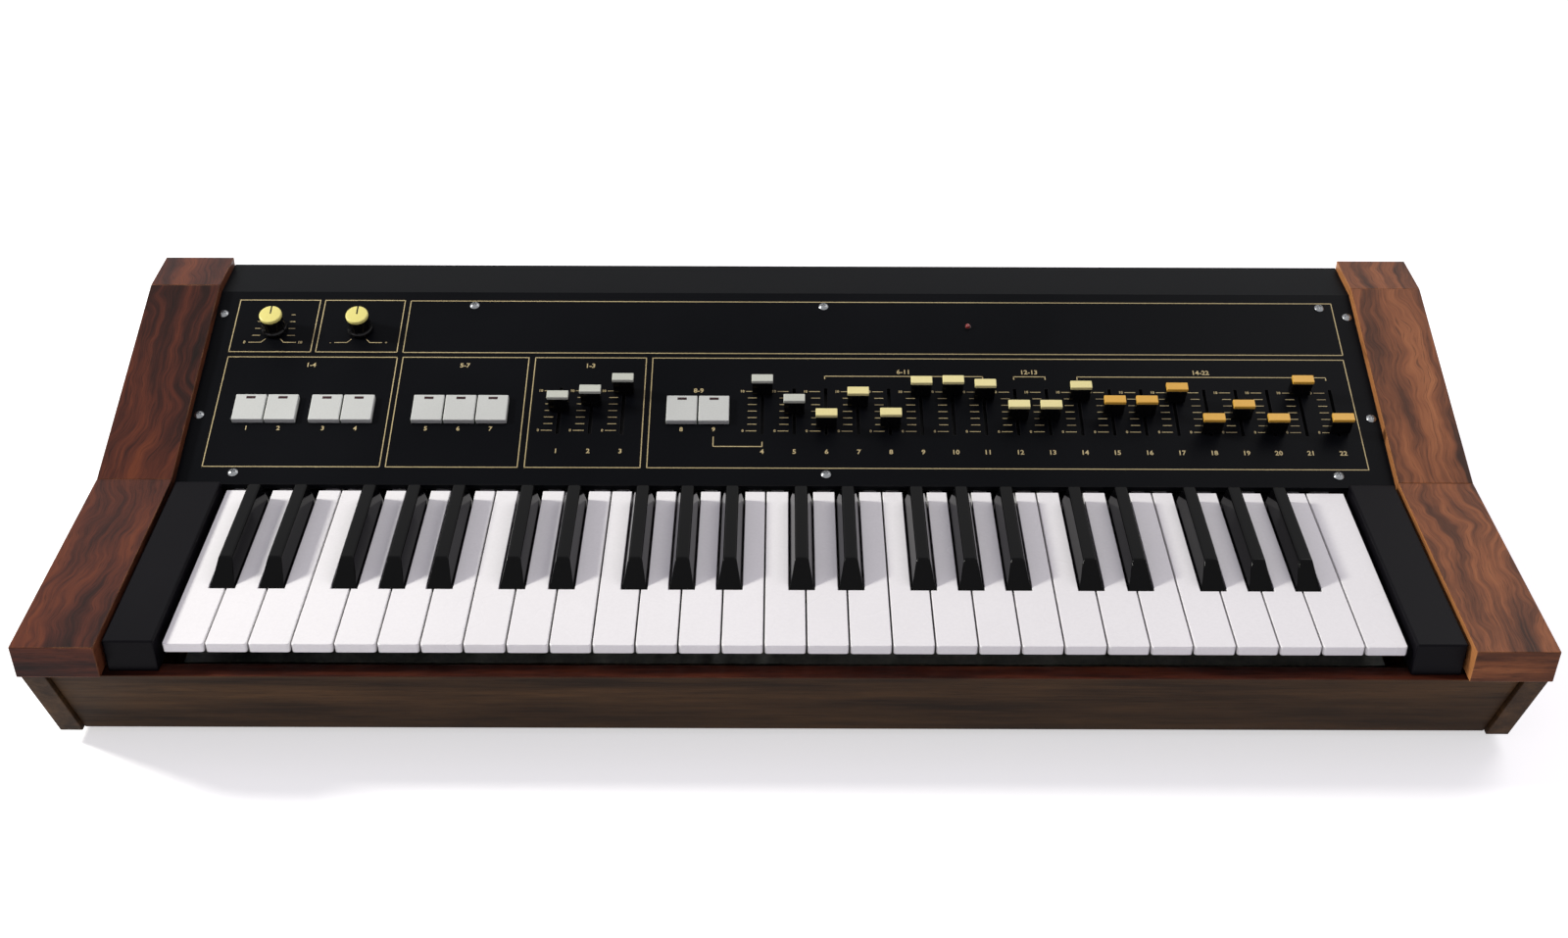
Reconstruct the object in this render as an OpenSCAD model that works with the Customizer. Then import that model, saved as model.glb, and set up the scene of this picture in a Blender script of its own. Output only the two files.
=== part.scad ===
// Forty-nine-key synthesizer: a wooden case, a sloping steel control panel and a sprung keyboard.
// The modules work with Y = 0 at the front faces of the white keys, Z = 0 at the tops of the
// white keys and +Y to the rear. placed() then moves them so that the origin lies on the floor
// under the middle of the case. Everything on the sloping panel is placed by x from the panel's
// middle, by s up the slope from its front edge, and by h square to its face.

/* [Keyboard] */
// Full octaves; one more C closes the keyboard
octaves = 4; // [2:1:4]
// Distance from one white key to the next
key_pitch = 23.5; // [19:0.25:23.5]
// Gap between two white keys
key_gap = 1; // [0.8:0.1:1.4]
// Length of the white key tops
white_length = 147; // [120:1:148]
// Thickness of a white key top at its front lip
white_thick = 5.6; // [4:0.1:7]
// Corner radius at the front of a white key
white_corner = 1.6; // [0.5:0.1:3]
// Front of the black keys, behind the front of the white keys
black_front = 51; // [45:0.5:60]
// Rear end of the black key tops
black_end = 138; // [110:1:140]
// Height of a black key above the white keys
black_height = 11; // [8:0.5:14]
// Width of a black key at its foot
black_foot_w = 13.6; // [9:0.1:13.8]
// Width of a black key on top
black_top_w = 7.4; // [5:0.1:9]
// Run of the sloping front of a black key
black_slope = 14; // [4:0.5:20]
// Clearance between a black key and the white keys round it
black_clear = 0.7; // [0.5:0.1:1]
// Width of the lever under each key
lever_w = 8; // [5:0.5:8]
// Depth of the underside of the levers
lever_bottom = 13; // [12:0.5:15]
// Distance from the key fronts to the pivot rod
pivot_y = 195; // [185:1:215]
// Depth of the pivot rod below the white key tops
pivot_depth = 9; // [8.5:0.5:9.5]
// Radius of the pivot rod
pivot_r = 2; // [1.5:0.1:2]
// Clearance round the pivot rod in each key
pivot_clear = 0.1; // [0.05:0.05:0.3]

/* [Wooden case] */
// Height of the white key tops above the underside of the case
case_height = 77; // [60:1:95]
// Height of the flat cheek tops above the white keys
cheek_top = 7; // [4:0.5:10]
// How far the cheeks reach in front of the keys
nose_reach = 12; // [8:0.5:16]
// Thickness of the cheek boards
cheek_thick = 21; // [16:0.5:24]
// Width of the cheek boards
cheek_w = 45.6; // [40:0.2:60]
// Where the cheeks bend up to the slope
knee_y = 148.1; // [148.1:0.1:150]
// Length of the slope, measured along the floor
slope_run = 153.2; // [150:0.2:200]
// Angle of the slope
slope = 18.1; // [14:0.1:22]
// Length of the level top behind the slope
crest_run = 38.7; // [30:0.1:50]
// Thickness of the side boards
side_t = 13; // [9:0.5:20]
// Overhang of the cheeks outside the side boards
cheek_overhang = 2.2; // [0:0.1:4]
// Backward lean of the front edges, as run over height
undercut = 0.43; // [0:0.01:0.5]
// Front rail, set back from the key fronts (negative is in front)
rail_front = -7.5; // [-9:0.5:-5]
// Depth of the front rail's top below the white key tops
rail_top = 16.5; // [16.5:0.1:20]
// Thickness of the front rail, measured level
rail_t = 10.5; // [8:0.5:12]
// Thickness of the bottom board
bottom_t = 12; // [6:0.5:15]
// Width of the ledge on each cheek under the panel's edge
ledge_w = 12; // [8:0.5:16]
// Inset of the rear panel from the back of the case
rear_inset = 10; // [8:0.5:14]
// Height of the feet
foot_h = 8; // [4:0.5:15]
// Radius of the feet
foot_r = 10; // [6:0.5:15]

/* [Black end blocks] */
// Gap from the outer white keys to the end blocks
block_gap = 2.5; // [1:0.1:4]
// Gap from the end blocks to the cheeks
block_side_gap = 1.6; // [0.3:0.1:3]
// Height of the end blocks above the white keys
block_top = 5; // [2:0.1:6.5]
// How far the end blocks reach in front of the white keys
block_reach = 4; // [0:0.5:6]

/* [Control panel] */
// Width of the control panel
panel_w = 745; // [745:1:900]
// Clearance between the panel and each cheek
panel_clear = 0.3; // [0.2:0.1:1]
// Thickness of the panel sheet
panel_t = 1.6; // [1:0.1:2]
// Depth of the panel face below the cheek tops
panel_drop = 5.4; // [4:0.1:8]
// Set-back of the panel's front edge behind the bend of the cheeks
panel_setback = 2.1; // [2:0.1:4]
// Depth of the folded front lip
lip_h = 3.2; // [2.5:0.1:3.6]
// Depth of the folded rear flange
flange_h = 14; // [8:0.5:20]
// Thickness of the two rails under the panel
panel_rail_t = 3; // [2:0.1:3]
// Width of the two rails under the panel
panel_rail_w = 12; // [8:0.5:14]

/* [Slide controls] */
// Travel of a slide control
slide_travel = 32; // [20:1:40]
// Distance between neighbouring slide controls
slide_pitch = 20; // [15:0.1:20]
// Middle of the slide controls and buttons, up the slope
control_row = 59; // [55:0.5:65]
// First of the three slides of the left group, from the panel's left edge
left_slides_x = 230.3; // [225:0.1:235]
// First slide of the main group, from the panel's left edge
main_slides_x = 358; // [350:0.1:365]
// Number of slides in the left group
left_slides = 3; // [1:1:3]
// Slot width
slot_w = 2.2; // [1.6:0.1:3]
// Clearance of a slide stem in its slot
slot_clear = 0.35; // [0.2:0.05:0.5]
// Length of a slide stem along its slot
stem_l = 5; // [3:0.1:6]
// Width of a slide knob
slide_knob_w = 13.4; // [10:0.1:15]
// Depth of a slide knob's cap
slide_cap_d = 5.8; // [5:0.1:8]
// Height of a slide knob above the panel
slide_knob_h = 14.5; // [8:0.5:18]
// Thickness of the coloured cap on a slide knob
slide_cap_t = 2.4; // [1:0.1:4]
// Height of a slide potentiometer under the panel
pot_h = 7; // [7:0.5:10]
// Width of a slide potentiometer
pot_w = 9; // [7:0.5:14]

/* [Buttons and rotary knobs] */
// Button width
button_w = 19.2; // [12:0.1:19.3]
// Button depth up the slope
button_d = 20.5; // [12:0.1:24]
// Button height above the panel
button_h = 3; // [3:0.1:6]
// Button travel
button_travel = 2; // [1:0.1:2.2]
// Distance between neighbouring buttons
button_pitch = 20.2; // [20.2:0.1:20.6]
// Clearance round a group of buttons
button_clear = 0.5; // [0.3:0.1:1]
// Rotary knob radius at its foot
knob_r = 8.4; // [6:0.1:12]
// Rotary knob radius on top
knob_top_r = 7.2; // [4:0.1:8]
// Rotary knob height above the panel
knob_h = 15; // [10:0.5:20]
// Shaft radius of a rotary knob
shaft_r = 3; // [2:0.1:4]
// Clearance of a shaft in the panel and in its potentiometer
shaft_clear = 0.1; // [0.05:0.05:0.5]
// Rotary knobs, up the slope
knob_row = 126.5; // [122:0.5:130]

/* [Rear connections] */
// Number of jack sockets
jack_count = 6; // [1:1:8]
// Distance between jack sockets
jack_pitch = 32; // [26:1:40]
// Bore radius of a jack socket
jack_bore_r = 3.3; // [3.2:0.05:3.5]
// Height of the rear connections above the underside of the case
jack_height = 70; // [40:1:90]

/* [Fasteners] */
// Radius of a screw head
screw_head_r = 3.1; // [2:0.1:4]
// Height of a screw head
screw_head_h = 1.8; // [1:0.1:3]
// Radius of a screw shank
screw_r = 1.5; // [1:0.1:2]
// Clearance of a screw shank in its hole
screw_clear = 0.15; // [0.1:0.05:0.3]
// Length of a screw shank below the panel face
screw_l = 6; // [5:0.5:7]

/* [Hidden] */
$fn = 48;
eps = 0.01;
wood = [0.42, 0.22, 0.15];
wood_light = [0.52, 0.3, 0.2];
satin_black = [0.09, 0.09, 0.1];
bare_steel = [0.7, 0.7, 0.72];
ivory_white = [0.93, 0.93, 0.95];
board_green = [0.16, 0.34, 0.2];

// Keys. Sharps follow these white keys of an octave, shifted from the joint between two whites.
sharp_after = [0, 1, 3, 4, 5];
sharp_shift = [-2.3, 2.3, -3.5, 0, 3.5];
whites_per_octave = 7;
white_count = octaves * whites_per_octave + 1;
octave_w = whites_per_octave * key_pitch;
keyboard_w = white_count * key_pitch;
notch_half = black_foot_w / 2 + black_clear;
notch_front = black_front - 1.2;
lever_front = 14;
lever_tail = pivot_y + 6;
lever_rear_top = 3.5;
lever_lap = 10;
black_foot = 4;

// Case outline, seen from the side.
cheek_inner = panel_w / 2 + panel_clear;
cheek_outer = cheek_inner + cheek_w;
side_outer = cheek_outer - cheek_overhang;
side_inner = side_outer - side_t;
nose_y = -nose_reach;
crest_y = knee_y + slope_run;
crest_z = cheek_top + slope_run * tan(slope);
back_y = crest_y + crest_run;
case_bottom = -case_height;
floor_top = case_bottom + bottom_t;
rear_y = back_y - rear_inset;
panel_under = panel_drop + panel_t;
panel_front = knee_y + panel_setback;
middle_y = (nose_y + back_y) / 2;
board_top = pot_h + panel_t;
board_t = 1.6;
foot_inset = 40;

// Points of the line that runs d below the cheek tops, square to them.
function knee_point(d) = [knee_y + d * tan(slope / 2), cheek_top - d];
function crest_point(d) = [crest_y + d * tan(slope / 2), crest_z - d];
function slope_point(d, y) = [y, knee_point(d)[1] + (y - knee_point(d)[0]) * tan(slope)];
function undercut_y(front, top, z) = front + (top - z) * undercut;

// Controls: settings of the slides run from 0 at the front of the slot to 10 at its rear.
slide_settings = [5.5, 7, 10, 9.8, 4.8, 1.2, 6.7, 1.4, 9.5, 9.7, 8.8,
                  3.5, 3.5, 8.4, 4.7, 4.7, 8, 0.3, 3.7, 0.3, 10, 0.4];
slide_count = len(slide_settings);
slot_l = slide_travel + stem_l + 2 * slot_clear;
function slide_x(i) = -panel_w / 2
    + (i < left_slides ? left_slides_x + i * slide_pitch
                       : main_slides_x + (i - left_slides) * slide_pitch);
function slide_s(i) = control_row + (slide_settings[i] / 10 - 0.5) * slide_travel;
// Each group of buttons: its first button's middle from the left edge, and how many.
button_groups = [[35.8, 2], [83.7, 2], [147.9, 3], [307.4, 2]];
button_starts = [0, 2, 4, 7];
function button_x(group, i) = -panel_w / 2 + button_groups[group][0] + i * button_pitch;
knob_places = [40.4, 96.1];
function knob_x(i) = -panel_w / 2 + knob_places[i];
led_place = 491.3;
led_row = 130.4;
led_r = 1.5;
plunger_w = 4;
plunger_reach = 5.8;
switch_top = 5.2;
button_skirt = 2;

// Panel screws: [x from the panel's middle, s up the slope].
screw_edge = 4.7;
front_screw_row = 9;
rear_screw_row = 148;
screw_places = [[-(panel_w / 2 - screw_edge), 140], [-(panel_w / 2 - screw_edge), 54.5],
                [panel_w / 2 - screw_edge, 140], [panel_w / 2 - screw_edge, 54.5],
                [-(panel_w / 2 - 34), front_screw_row], [25, front_screw_row],
                [panel_w / 2 - 33, front_screw_row],
                [-204.3, rear_screw_row], [25, rear_screw_row],
                [panel_w / 2 - 21.5, rear_screw_row]];

// Rear connections.
jack_z = case_bottom + jack_height;
first_jack = -40;
inlet_x = 300;
inlet_w = 28;
inlet_h = 20;
inlet_depth = 16;
inlet_wall = 2;
pin_l = 9;
rocker_x = 250;
rocker_w = 13;
rocker_l = 21;
rocker_tilt = 8;
rocker_clear = 0.5;
rocker_axle_r = 1.5;
rocker_sink = 3;
transformer_x = -300;
transformer_y = 265;

// ---- placing ----

module placed() {
    translate([0, -middle_y, case_height + foot_h]) children();
}

// Places children with Z square to the panel face and Y up its slope.
module on_panel(x, s, h = 0) {
    front = slope_point(panel_drop, panel_front);
    translate([0, front[0], front[1]]) rotate([slope, 0, 0]) translate([x, s, h]) children();
}

// Extrudes a [y, z] outline along X from x0 to x1.
module board(x0, x1, outline) {
    translate([x0, 0, 0]) rotate([90, 0, 90]) linear_extrude(x1 - x0) polygon(outline);
}

module both_sides() {
    children();
    mirror([1, 0, 0]) children();
}

// ---- wooden case ----

module cheek() {
    difference() {
        union() {
            board(cheek_inner, cheek_outer, [
                [nose_y, cheek_top], knee_point(0), crest_point(0), [back_y, crest_z],
                [back_y, crest_z - cheek_thick], crest_point(cheek_thick),
                knee_point(cheek_thick), [nose_y, cheek_top - cheek_thick]]);
            board(cheek_inner - ledge_w, cheek_inner + eps, [
                slope_point(panel_under, panel_front + panel_t), crest_point(panel_under),
                [rear_y - panel_t, crest_z - panel_under],
                [rear_y - panel_t, crest_z - cheek_thick], crest_point(cheek_thick),
                slope_point(cheek_thick, panel_front + panel_t)]);
        }
        for (s = [54.5, 140]) {
            on_panel(panel_w / 2 - screw_edge, s, -screw_l - 1)
                cylinder(r = screw_r + screw_clear, h = screw_l + 1);
        }
    }
}

module left_cheek() {
    color(wood) placed() mirror([1, 0, 0]) cheek();
}

module right_cheek() {
    color(wood_light) placed() cheek();
}

module side_boards() {
    top = cheek_top - cheek_thick;
    front = nose_y + 0.5;
    color(wood) placed() both_sides() {
        board(side_inner, side_outer, [
            [front, top], knee_point(cheek_thick), crest_point(cheek_thick),
            [back_y, crest_z - cheek_thick], [back_y, case_bottom],
            [undercut_y(front, top, case_bottom), case_bottom]]);
    }
}

module front_rail() {
    foot = undercut_y(rail_front, -rail_top, case_bottom);
    color(wood) placed() {
        board(-side_inner, side_inner, [
            [rail_front, -rail_top], [rail_front + rail_t, -rail_top],
            [foot + rail_t, case_bottom], [foot, case_bottom]]);
    }
}

module bottom_board() {
    rail_back = rail_front + rail_t;
    color(wood) placed() {
        board(-side_inner, side_inner, [
            [undercut_y(rail_back, -rail_top, case_bottom), case_bottom],
            [undercut_y(rail_back, -rail_top, floor_top), floor_top],
            [back_y, floor_top], [back_y, case_bottom]]);
    }
}

module rubber_feet() {
    color(satin_black) placed() both_sides() {
        for (y = [foot_inset + 10, back_y - foot_inset]) {
            translate([side_inner - foot_inset, y, case_bottom - foot_h])
                cylinder(r1 = foot_r - 1, r2 = foot_r, h = foot_h);
        }
    }
}

// ---- control panel ----

module panel_sheet() {
    lip = slope_point(panel_drop, panel_front);
    inner_lip = slope_point(panel_under, panel_front + panel_t);
    board(-panel_w / 2, panel_w / 2, [
        [panel_front, lip[1] - lip_h], lip, crest_point(panel_drop),
        [back_y, crest_z - panel_drop], [back_y, crest_z - panel_drop - flange_h],
        [back_y - panel_t, crest_z - panel_drop - flange_h],
        [back_y - panel_t, crest_z - panel_under], crest_point(panel_under),
        inner_lip, [panel_front + panel_t, lip[1] - lip_h]]);
}

module button_cutout(group) {
    width = (button_groups[group][1] - 1) * button_pitch + button_w + 2 * button_clear;
    depth = button_d + 2 * button_clear;
    on_panel(button_x(group, 0) - button_w / 2 - button_clear, control_row - depth / 2, -panel_t - 1)
        cube([width, depth, panel_t + 2]);
}

module slide_slot(i, w, l, low, high) {
    on_panel(slide_x(i) - w / 2, control_row - l / 2, low) cube([w, l, high - low]);
}

module control_panel() {
    color(satin_black) placed() difference() {
        panel_sheet();
        for (i = [0:slide_count - 1]) {
            slide_slot(i, slot_w, slot_l, -panel_t - 1, 1);
        }
        for (group = [0:len(button_groups) - 1]) {
            button_cutout(group);
        }
        for (i = [0:1]) {
            on_panel(knob_x(i), knob_row, -panel_t - 1)
                cylinder(r = shaft_r + shaft_clear, h = panel_t + 2);
        }
        for (place = screw_places) {
            on_panel(place[0], place[1], -panel_t - 1)
                cylinder(r = screw_r + screw_clear, h = panel_t + 2);
        }
        on_panel(led_place - panel_w / 2, led_row, -panel_t - 1)
            cylinder(r = led_r + 0.1, h = panel_t + 2);
    }
}

module panel_rail(row) {
    x = cheek_inner - ledge_w;
    difference() {
        on_panel(-x, row - panel_rail_w / 2, -panel_t - panel_rail_t)
            cube([2 * x, panel_rail_w, panel_rail_t]);
        for (place = screw_places) {
            on_panel(place[0], place[1], -screw_l - 1)
                cylinder(r = screw_r + screw_clear, h = screw_l + 1);
        }
    }
}

module panel_rails() {
    color(bare_steel) placed() {
        panel_rail(front_screw_row);
        panel_rail(rear_screw_row);
    }
}

module rear_panel() {
    top = crest_z - panel_under;
    shoulder = crest_z - cheek_thick;
    color(satin_black) placed() difference() {
        translate([0, rear_y, 0]) rotate([90, 0, 0]) linear_extrude(panel_t) {
            polygon([[-side_inner, floor_top], [side_inner, floor_top], [side_inner, shoulder],
                     [panel_w / 2, shoulder], [panel_w / 2, top], [-panel_w / 2, top],
                     [-panel_w / 2, shoulder], [-side_inner, shoulder]]);
        }
        for (i = [0:jack_count - 1]) {
            rear_bore(first_jack + i * jack_pitch, bushing_r + bushing_clear);
        }
        rear_window(inlet_x, inlet_w, inlet_h);
        rear_window(rocker_x, rocker_w + 2 * rocker_wall, rocker_l + 2 * rocker_wall);
    }
}

// ---- keyboard ----

module key_end_blocks() {
    inner = keyboard_w / 2 + block_gap;
    outer = cheek_inner - block_side_gap;
    rear = panel_front - 1;
    color(satin_black) placed() both_sides() {
        translate([inner, -block_reach, -rail_top])
            cube([outer - inner, rear + block_reach, rail_top + block_top]);
    }
}

tray_front = 30;
tray_rear = lever_tail + 13;
tray_depth = 38;
tray_t = 2;
fin_t = 3;
fin_half = 7;
fin_top = 5;
fin_clear = 0.3;

module key_frame() {
    width = keyboard_w + fin_t;
    fins = concat([for (k = [0:octaves]) k * octave_w], [keyboard_w]);
    color(bare_steel) placed() {
        translate([-width / 2, tray_front, -tray_depth - tray_t])
            cube([width, tray_rear - tray_front, tray_t]);
        for (y = [tray_front, tray_rear - tray_t]) {
            translate([-width / 2, y, floor_top])
                cube([width, tray_t, -tray_depth - floor_top]);
        }
        for (x = fins) {
            translate([x - keyboard_w / 2 - fin_t / 2, pivot_y - fin_half, -tray_depth - eps])
                cube([fin_t, 2 * fin_half, tray_depth - fin_top + eps]);
        }
        translate([-width / 2, pivot_y, -pivot_depth]) rotate([0, 90, 0])
            cylinder(r = pivot_r, h = width);
    }
}

// Whether a sharp stands at the joint behind white key n, and how far off the joint it is.
function sharp_index(n) = search(n % whites_per_octave, sharp_after);
function has_sharp(n) = n >= 0 && n < white_count - 1 && len(sharp_index(n)) > 0;
function sharp_x(n) = (n + 1) * key_pitch + sharp_shift[sharp_index(n)[0]];
function tail_left(n) = has_sharp(n - 1) ? sharp_x(n - 1) + notch_half : n * key_pitch + key_gap / 2;
function tail_right(n) = has_sharp(n) ? sharp_x(n) - notch_half : (n + 1) * key_pitch - key_gap / 2;

// Room beside a lever with its middle at x, up to the tray's fins at the ends of its octave.
function fin_room(n, x) = min(x - floor(n / whites_per_octave) * octave_w,
    (floor(n / whites_per_octave) + 1) * octave_w - x) - fin_t / 2 - fin_clear;

module lever(x, front, top, w = lever_w) {
    difference() {
        translate([x - w / 2, front, -lever_bottom])
            cube([w, lever_tail - front, lever_bottom - top]);
        translate([x - lever_w, pivot_y, -pivot_depth]) rotate([0, 90, 0])
            cylinder(r = pivot_r + pivot_clear, h = 2 * lever_w);
    }
}

// Outline of a white key top, with rounded front corners and room for its sharps.
module white_outline(n) {
    left = n * key_pitch + key_gap / 2;
    right = (n + 1) * key_pitch - key_gap / 2;
    translate([left + white_corner, 0])
        square([right - left - 2 * white_corner, notch_front]);
    translate([left, white_corner])
        square([right - left, notch_front - white_corner]);
    for (x = [left + white_corner, right - white_corner]) {
        translate([x, white_corner]) circle(r = white_corner);
    }
    translate([tail_left(n), notch_front - eps])
        square([tail_right(n) - tail_left(n), white_length - notch_front + eps]);
}

module white_key(n) {
    middle = (tail_left(n) + tail_right(n)) / 2;
    w = min(lever_w, 2 * fin_room(n, middle));
    translate([-keyboard_w / 2, 0, 0]) {
        translate([0, 0, -white_thick]) linear_extrude(white_thick) white_outline(n);
        lever(middle, lever_front, white_thick - 1, w);
        lever(middle, white_length - lever_lap, lever_rear_top, w);
    }
}

module white_keys(note) {
    color(ivory_white) placed() {
        for (n = [note:whites_per_octave:white_count - 1]) {
            white_key(n);
        }
    }
}

module black_top() {
    foot = black_foot_w / 2;
    top = black_top_w / 2;
    intersection() {
        translate([0, black_end, 0]) rotate([90, 0, 0]) linear_extrude(black_end - black_front) {
            polygon([[-foot, -black_foot], [foot, -black_foot], [foot, 0], [top, black_height],
                     [-top, black_height], [-foot, 0]]);
        }
        board(-foot, foot, [
            [black_front, -black_foot], [black_front, 0], [black_front + black_slope, black_height],
            [black_end, black_height], [black_end, -black_foot]]);
    }
}

module black_key(n) {
    translate([sharp_x(n) - keyboard_w / 2, 0, 0]) {
        black_top();
        lever(0, black_front + 3, black_foot - 1);
    }
}

// Sharps behind the listed white keys of every octave.
module black_keys(after) {
    color(satin_black) placed() {
        for (octave = [0:octaves - 1], note = after) {
            black_key(octave * whites_per_octave + note);
        }
    }
}

// ---- electronics ----

groove_depth = 4;

module slide_pot(i) {
    length = slot_l + 8;
    difference() {
        on_panel(slide_x(i) - pot_w / 2, control_row - length / 2, -board_top)
            cube([pot_w, length, pot_h]);
        slide_slot(i, slot_w, slot_l, -panel_t - groove_depth, 1);
    }
}

rotary_r = 8;
rotary_h = 10;
rotary_floor = 2;

module rotary_pot(i) {
    difference() {
        on_panel(knob_x(i), knob_row, -panel_t - rotary_h) cylinder(r = rotary_r, h = rotary_h);
        on_panel(knob_x(i), knob_row, -panel_t - rotary_h + rotary_floor)
            cylinder(r = shaft_r + shaft_clear, h = rotary_h);
    }
}

module potentiometers() {
    color("slategray") placed() {
        for (i = [0:slide_count - 1]) {
            slide_pot(i);
        }
        for (i = [0:1]) {
            rotary_pot(i);
        }
    }
}

switch_w = 12;
plunger_clear = 0.3;
panel_board_d = 66;
main_board_x = -180;
main_board_w = 420;
main_board_d = 80;
main_board_gap = 10;
standoff_r = 3;
standoff_h = 8;
standoff_inset = 8;
led_board = [12, 8];

module switch_body(group, i) {
    x = button_x(group, i);
    difference() {
        on_panel(x - switch_w / 2, control_row - switch_w / 2, -board_top)
            cube([switch_w, switch_w, board_top - switch_top]);
        on_panel(x, control_row) {
            hole = plunger_w + 2 * plunger_clear;
            translate([-hole / 2, -hole / 2, -board_top]) cube([hole, hole, board_top]);
        }
    }
}

module circuit_boards() {
    panel_board_w = panel_w - 2 * ledge_w - 8;
    main_board_y = tray_rear + main_board_gap;
    main_board_mid = main_board_x + main_board_w / 2;
    post_x = main_board_w / 2 - standoff_inset;
    color(board_green) placed() {
        on_panel(-panel_board_w / 2, control_row - panel_board_d / 2, -board_top - board_t)
            cube([panel_board_w, panel_board_d, board_t]);
        for (group = [0:len(button_groups) - 1], i = [0:button_groups[group][1] - 1]) {
            switch_body(group, i);
        }
        on_panel(led_place - panel_w / 2, led_row, -panel_t - 1) {
            cylinder(r = led_r, h = panel_t + 2);
            translate([0, 0, panel_t + 2]) sphere(r = led_r);
            translate([-led_board[0] / 2, -led_board[1] / 2, -board_t])
                cube([led_board[0], led_board[1], board_t + 1]);
        }
        translate([main_board_x, main_board_y, floor_top + standoff_h])
            cube([main_board_w, main_board_d, board_t]);
        for (x = [-post_x, 0, post_x], y = [standoff_inset, main_board_d - standoff_inset]) {
            translate([main_board_mid + x, main_board_y + y, floor_top])
                cylinder(r = standoff_r, h = standoff_h + eps);
        }
    }
}

module power_transformer() {
    core_w = 52;
    core_d = 26;
    core_h = 44;
    coil_d = 44;
    coil_w = 30;
    coil_inset = 7;
    foot_w = 74;
    foot_t = 2;
    color("dimgray") placed() translate([transformer_x, transformer_y, floor_top]) {
        translate([-core_w / 2, -core_d / 2, 0]) cube([core_w, core_d, core_h]);
        translate([-coil_w / 2, -coil_d / 2, coil_inset])
            cube([coil_w, coil_d, core_h - 2 * coil_inset]);
        translate([-foot_w / 2, -core_d / 2, 0]) cube([foot_w, core_d, foot_t]);
    }
}

// ---- rear connections ----

bushing_r = 5.5;
bushing_clear = 0.1;
bushing_l = 6;
nut_r = 7.5;
nut_t = 2.2;
rocker_wall = 1.5;

module rear_bore(x, r) {
    translate([x, rear_y + 1, jack_z]) rotate([90, 0, 0]) cylinder(r = r, h = panel_t + 2);
}

module rear_window(x, w, h) {
    translate([x - w / 2, rear_y - panel_t - 1, jack_z - h / 2]) cube([w, panel_t + 2, h]);
}

module jack_socket(x) {
    body_w = 15;
    body_d = 24;
    depth = 20;
    translate([x, rear_y, jack_z]) difference() {
        union() {
            rotate([-90, 0, 0]) translate([0, 0, -panel_t - 1]) {
                cylinder(r = bushing_r, h = bushing_l + panel_t + 1);
            }
            rotate([-90, 0, 0]) cylinder(r = nut_r, h = nut_t, $fn = 6);
            translate([-body_w / 2, -panel_t - body_d, -body_w / 2])
                cube([body_w, body_d, body_w]);
        }
        translate([0, bushing_l + 1, 0]) rotate([90, 0, 0])
            cylinder(r = jack_bore_r, h = bushing_l + 1 + depth);
    }
}

module mains_inlet() {
    rim = 3;
    translate([inlet_x, rear_y, jack_z]) difference() {
        union() {
            translate([-inlet_w / 2, -inlet_depth - inlet_wall, -inlet_h / 2])
                cube([inlet_w, inlet_depth + inlet_wall + 1, inlet_h]);
            translate([-inlet_w / 2 - rim, 0, -inlet_h / 2 - rim])
                cube([inlet_w + 2 * rim, 2, inlet_h + 2 * rim]);
        }
        translate([-inlet_w / 2 + inlet_wall, -inlet_depth, -inlet_h / 2 + inlet_wall])
            cube([inlet_w - 2 * inlet_wall, inlet_depth + 5, inlet_h - 2 * inlet_wall]);
    }
    for (x = [-7, 0, 7]) {
        translate([inlet_x + x - 1, rear_y - inlet_depth - eps, jack_z - 3 + (x == 0 ? 2 : 0)])
            cube([2, pin_l, 5]);
    }
}

module rocker_frame() {
    w = rocker_w + 2 * rocker_wall;
    l = rocker_l + 2 * rocker_wall;
    depth = 16;
    rim = 1.5;
    translate([rocker_x, rear_y, jack_z]) difference() {
        union() {
            translate([-w / 2, -depth, -l / 2]) cube([w, depth + 0.5, l]);
            translate([-w / 2 - rim, 0, -l / 2 - rim]) cube([w + 2 * rim, 1.5, l + 2 * rim]);
        }
        translate([-rocker_w / 2, -depth + rocker_wall, -rocker_l / 2])
            cube([rocker_w, depth + 3, rocker_l]);
        translate([-w, -rocker_sink, 0]) rotate([0, 90, 0])
            cylinder(r = rocker_axle_r + 0.1, h = 2 * w);
    }
}

module rear_jacks() {
    color("gray") placed() {
        for (i = [0:jack_count - 1]) {
            jack_socket(first_jack + i * jack_pitch);
        }
        mains_inlet();
        rocker_frame();
    }
}

module power_rocker() {
    half = rocker_l / 2 - rocker_clear;
    w = rocker_w - 2 * rocker_clear;
    color(satin_black) placed() translate([rocker_x, rear_y - rocker_sink, jack_z])
        rotate([rocker_tilt, 0, 0]) {
        board(-w / 2, w / 2, [
            [-4, -half + 3], [-4, half - 3], [1, half - 1], [4.5, half - 1], [3, 0],
            [4.5, -half + 1], [1, -half + 1]]);
        translate([-rocker_w / 2 - rocker_wall, 0, 0]) rotate([0, 90, 0])
            cylinder(r = rocker_axle_r, h = rocker_w + 2 * rocker_wall);
    }
}

// ---- fasteners ----

module screw() {
    translate([0, 0, -screw_l]) cylinder(r = screw_r, h = screw_l + eps);
    difference() {
        intersection() {
            cylinder(r = screw_head_r, h = screw_head_h);
            translate([0, 0, screw_head_h - 4]) sphere(r = 4);
        }
        for (a = [0, 90]) {
            rotate([0, 0, a]) translate([-0.4, -1.6, screw_head_h - 0.9]) cube([0.8, 3.2, 2]);
        }
    }
}

module screws() {
    color("silver") placed() {
        for (place = screw_places) {
            on_panel(place[0], place[1]) screw();
        }
    }
}

// ---- moving controls ----

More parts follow.
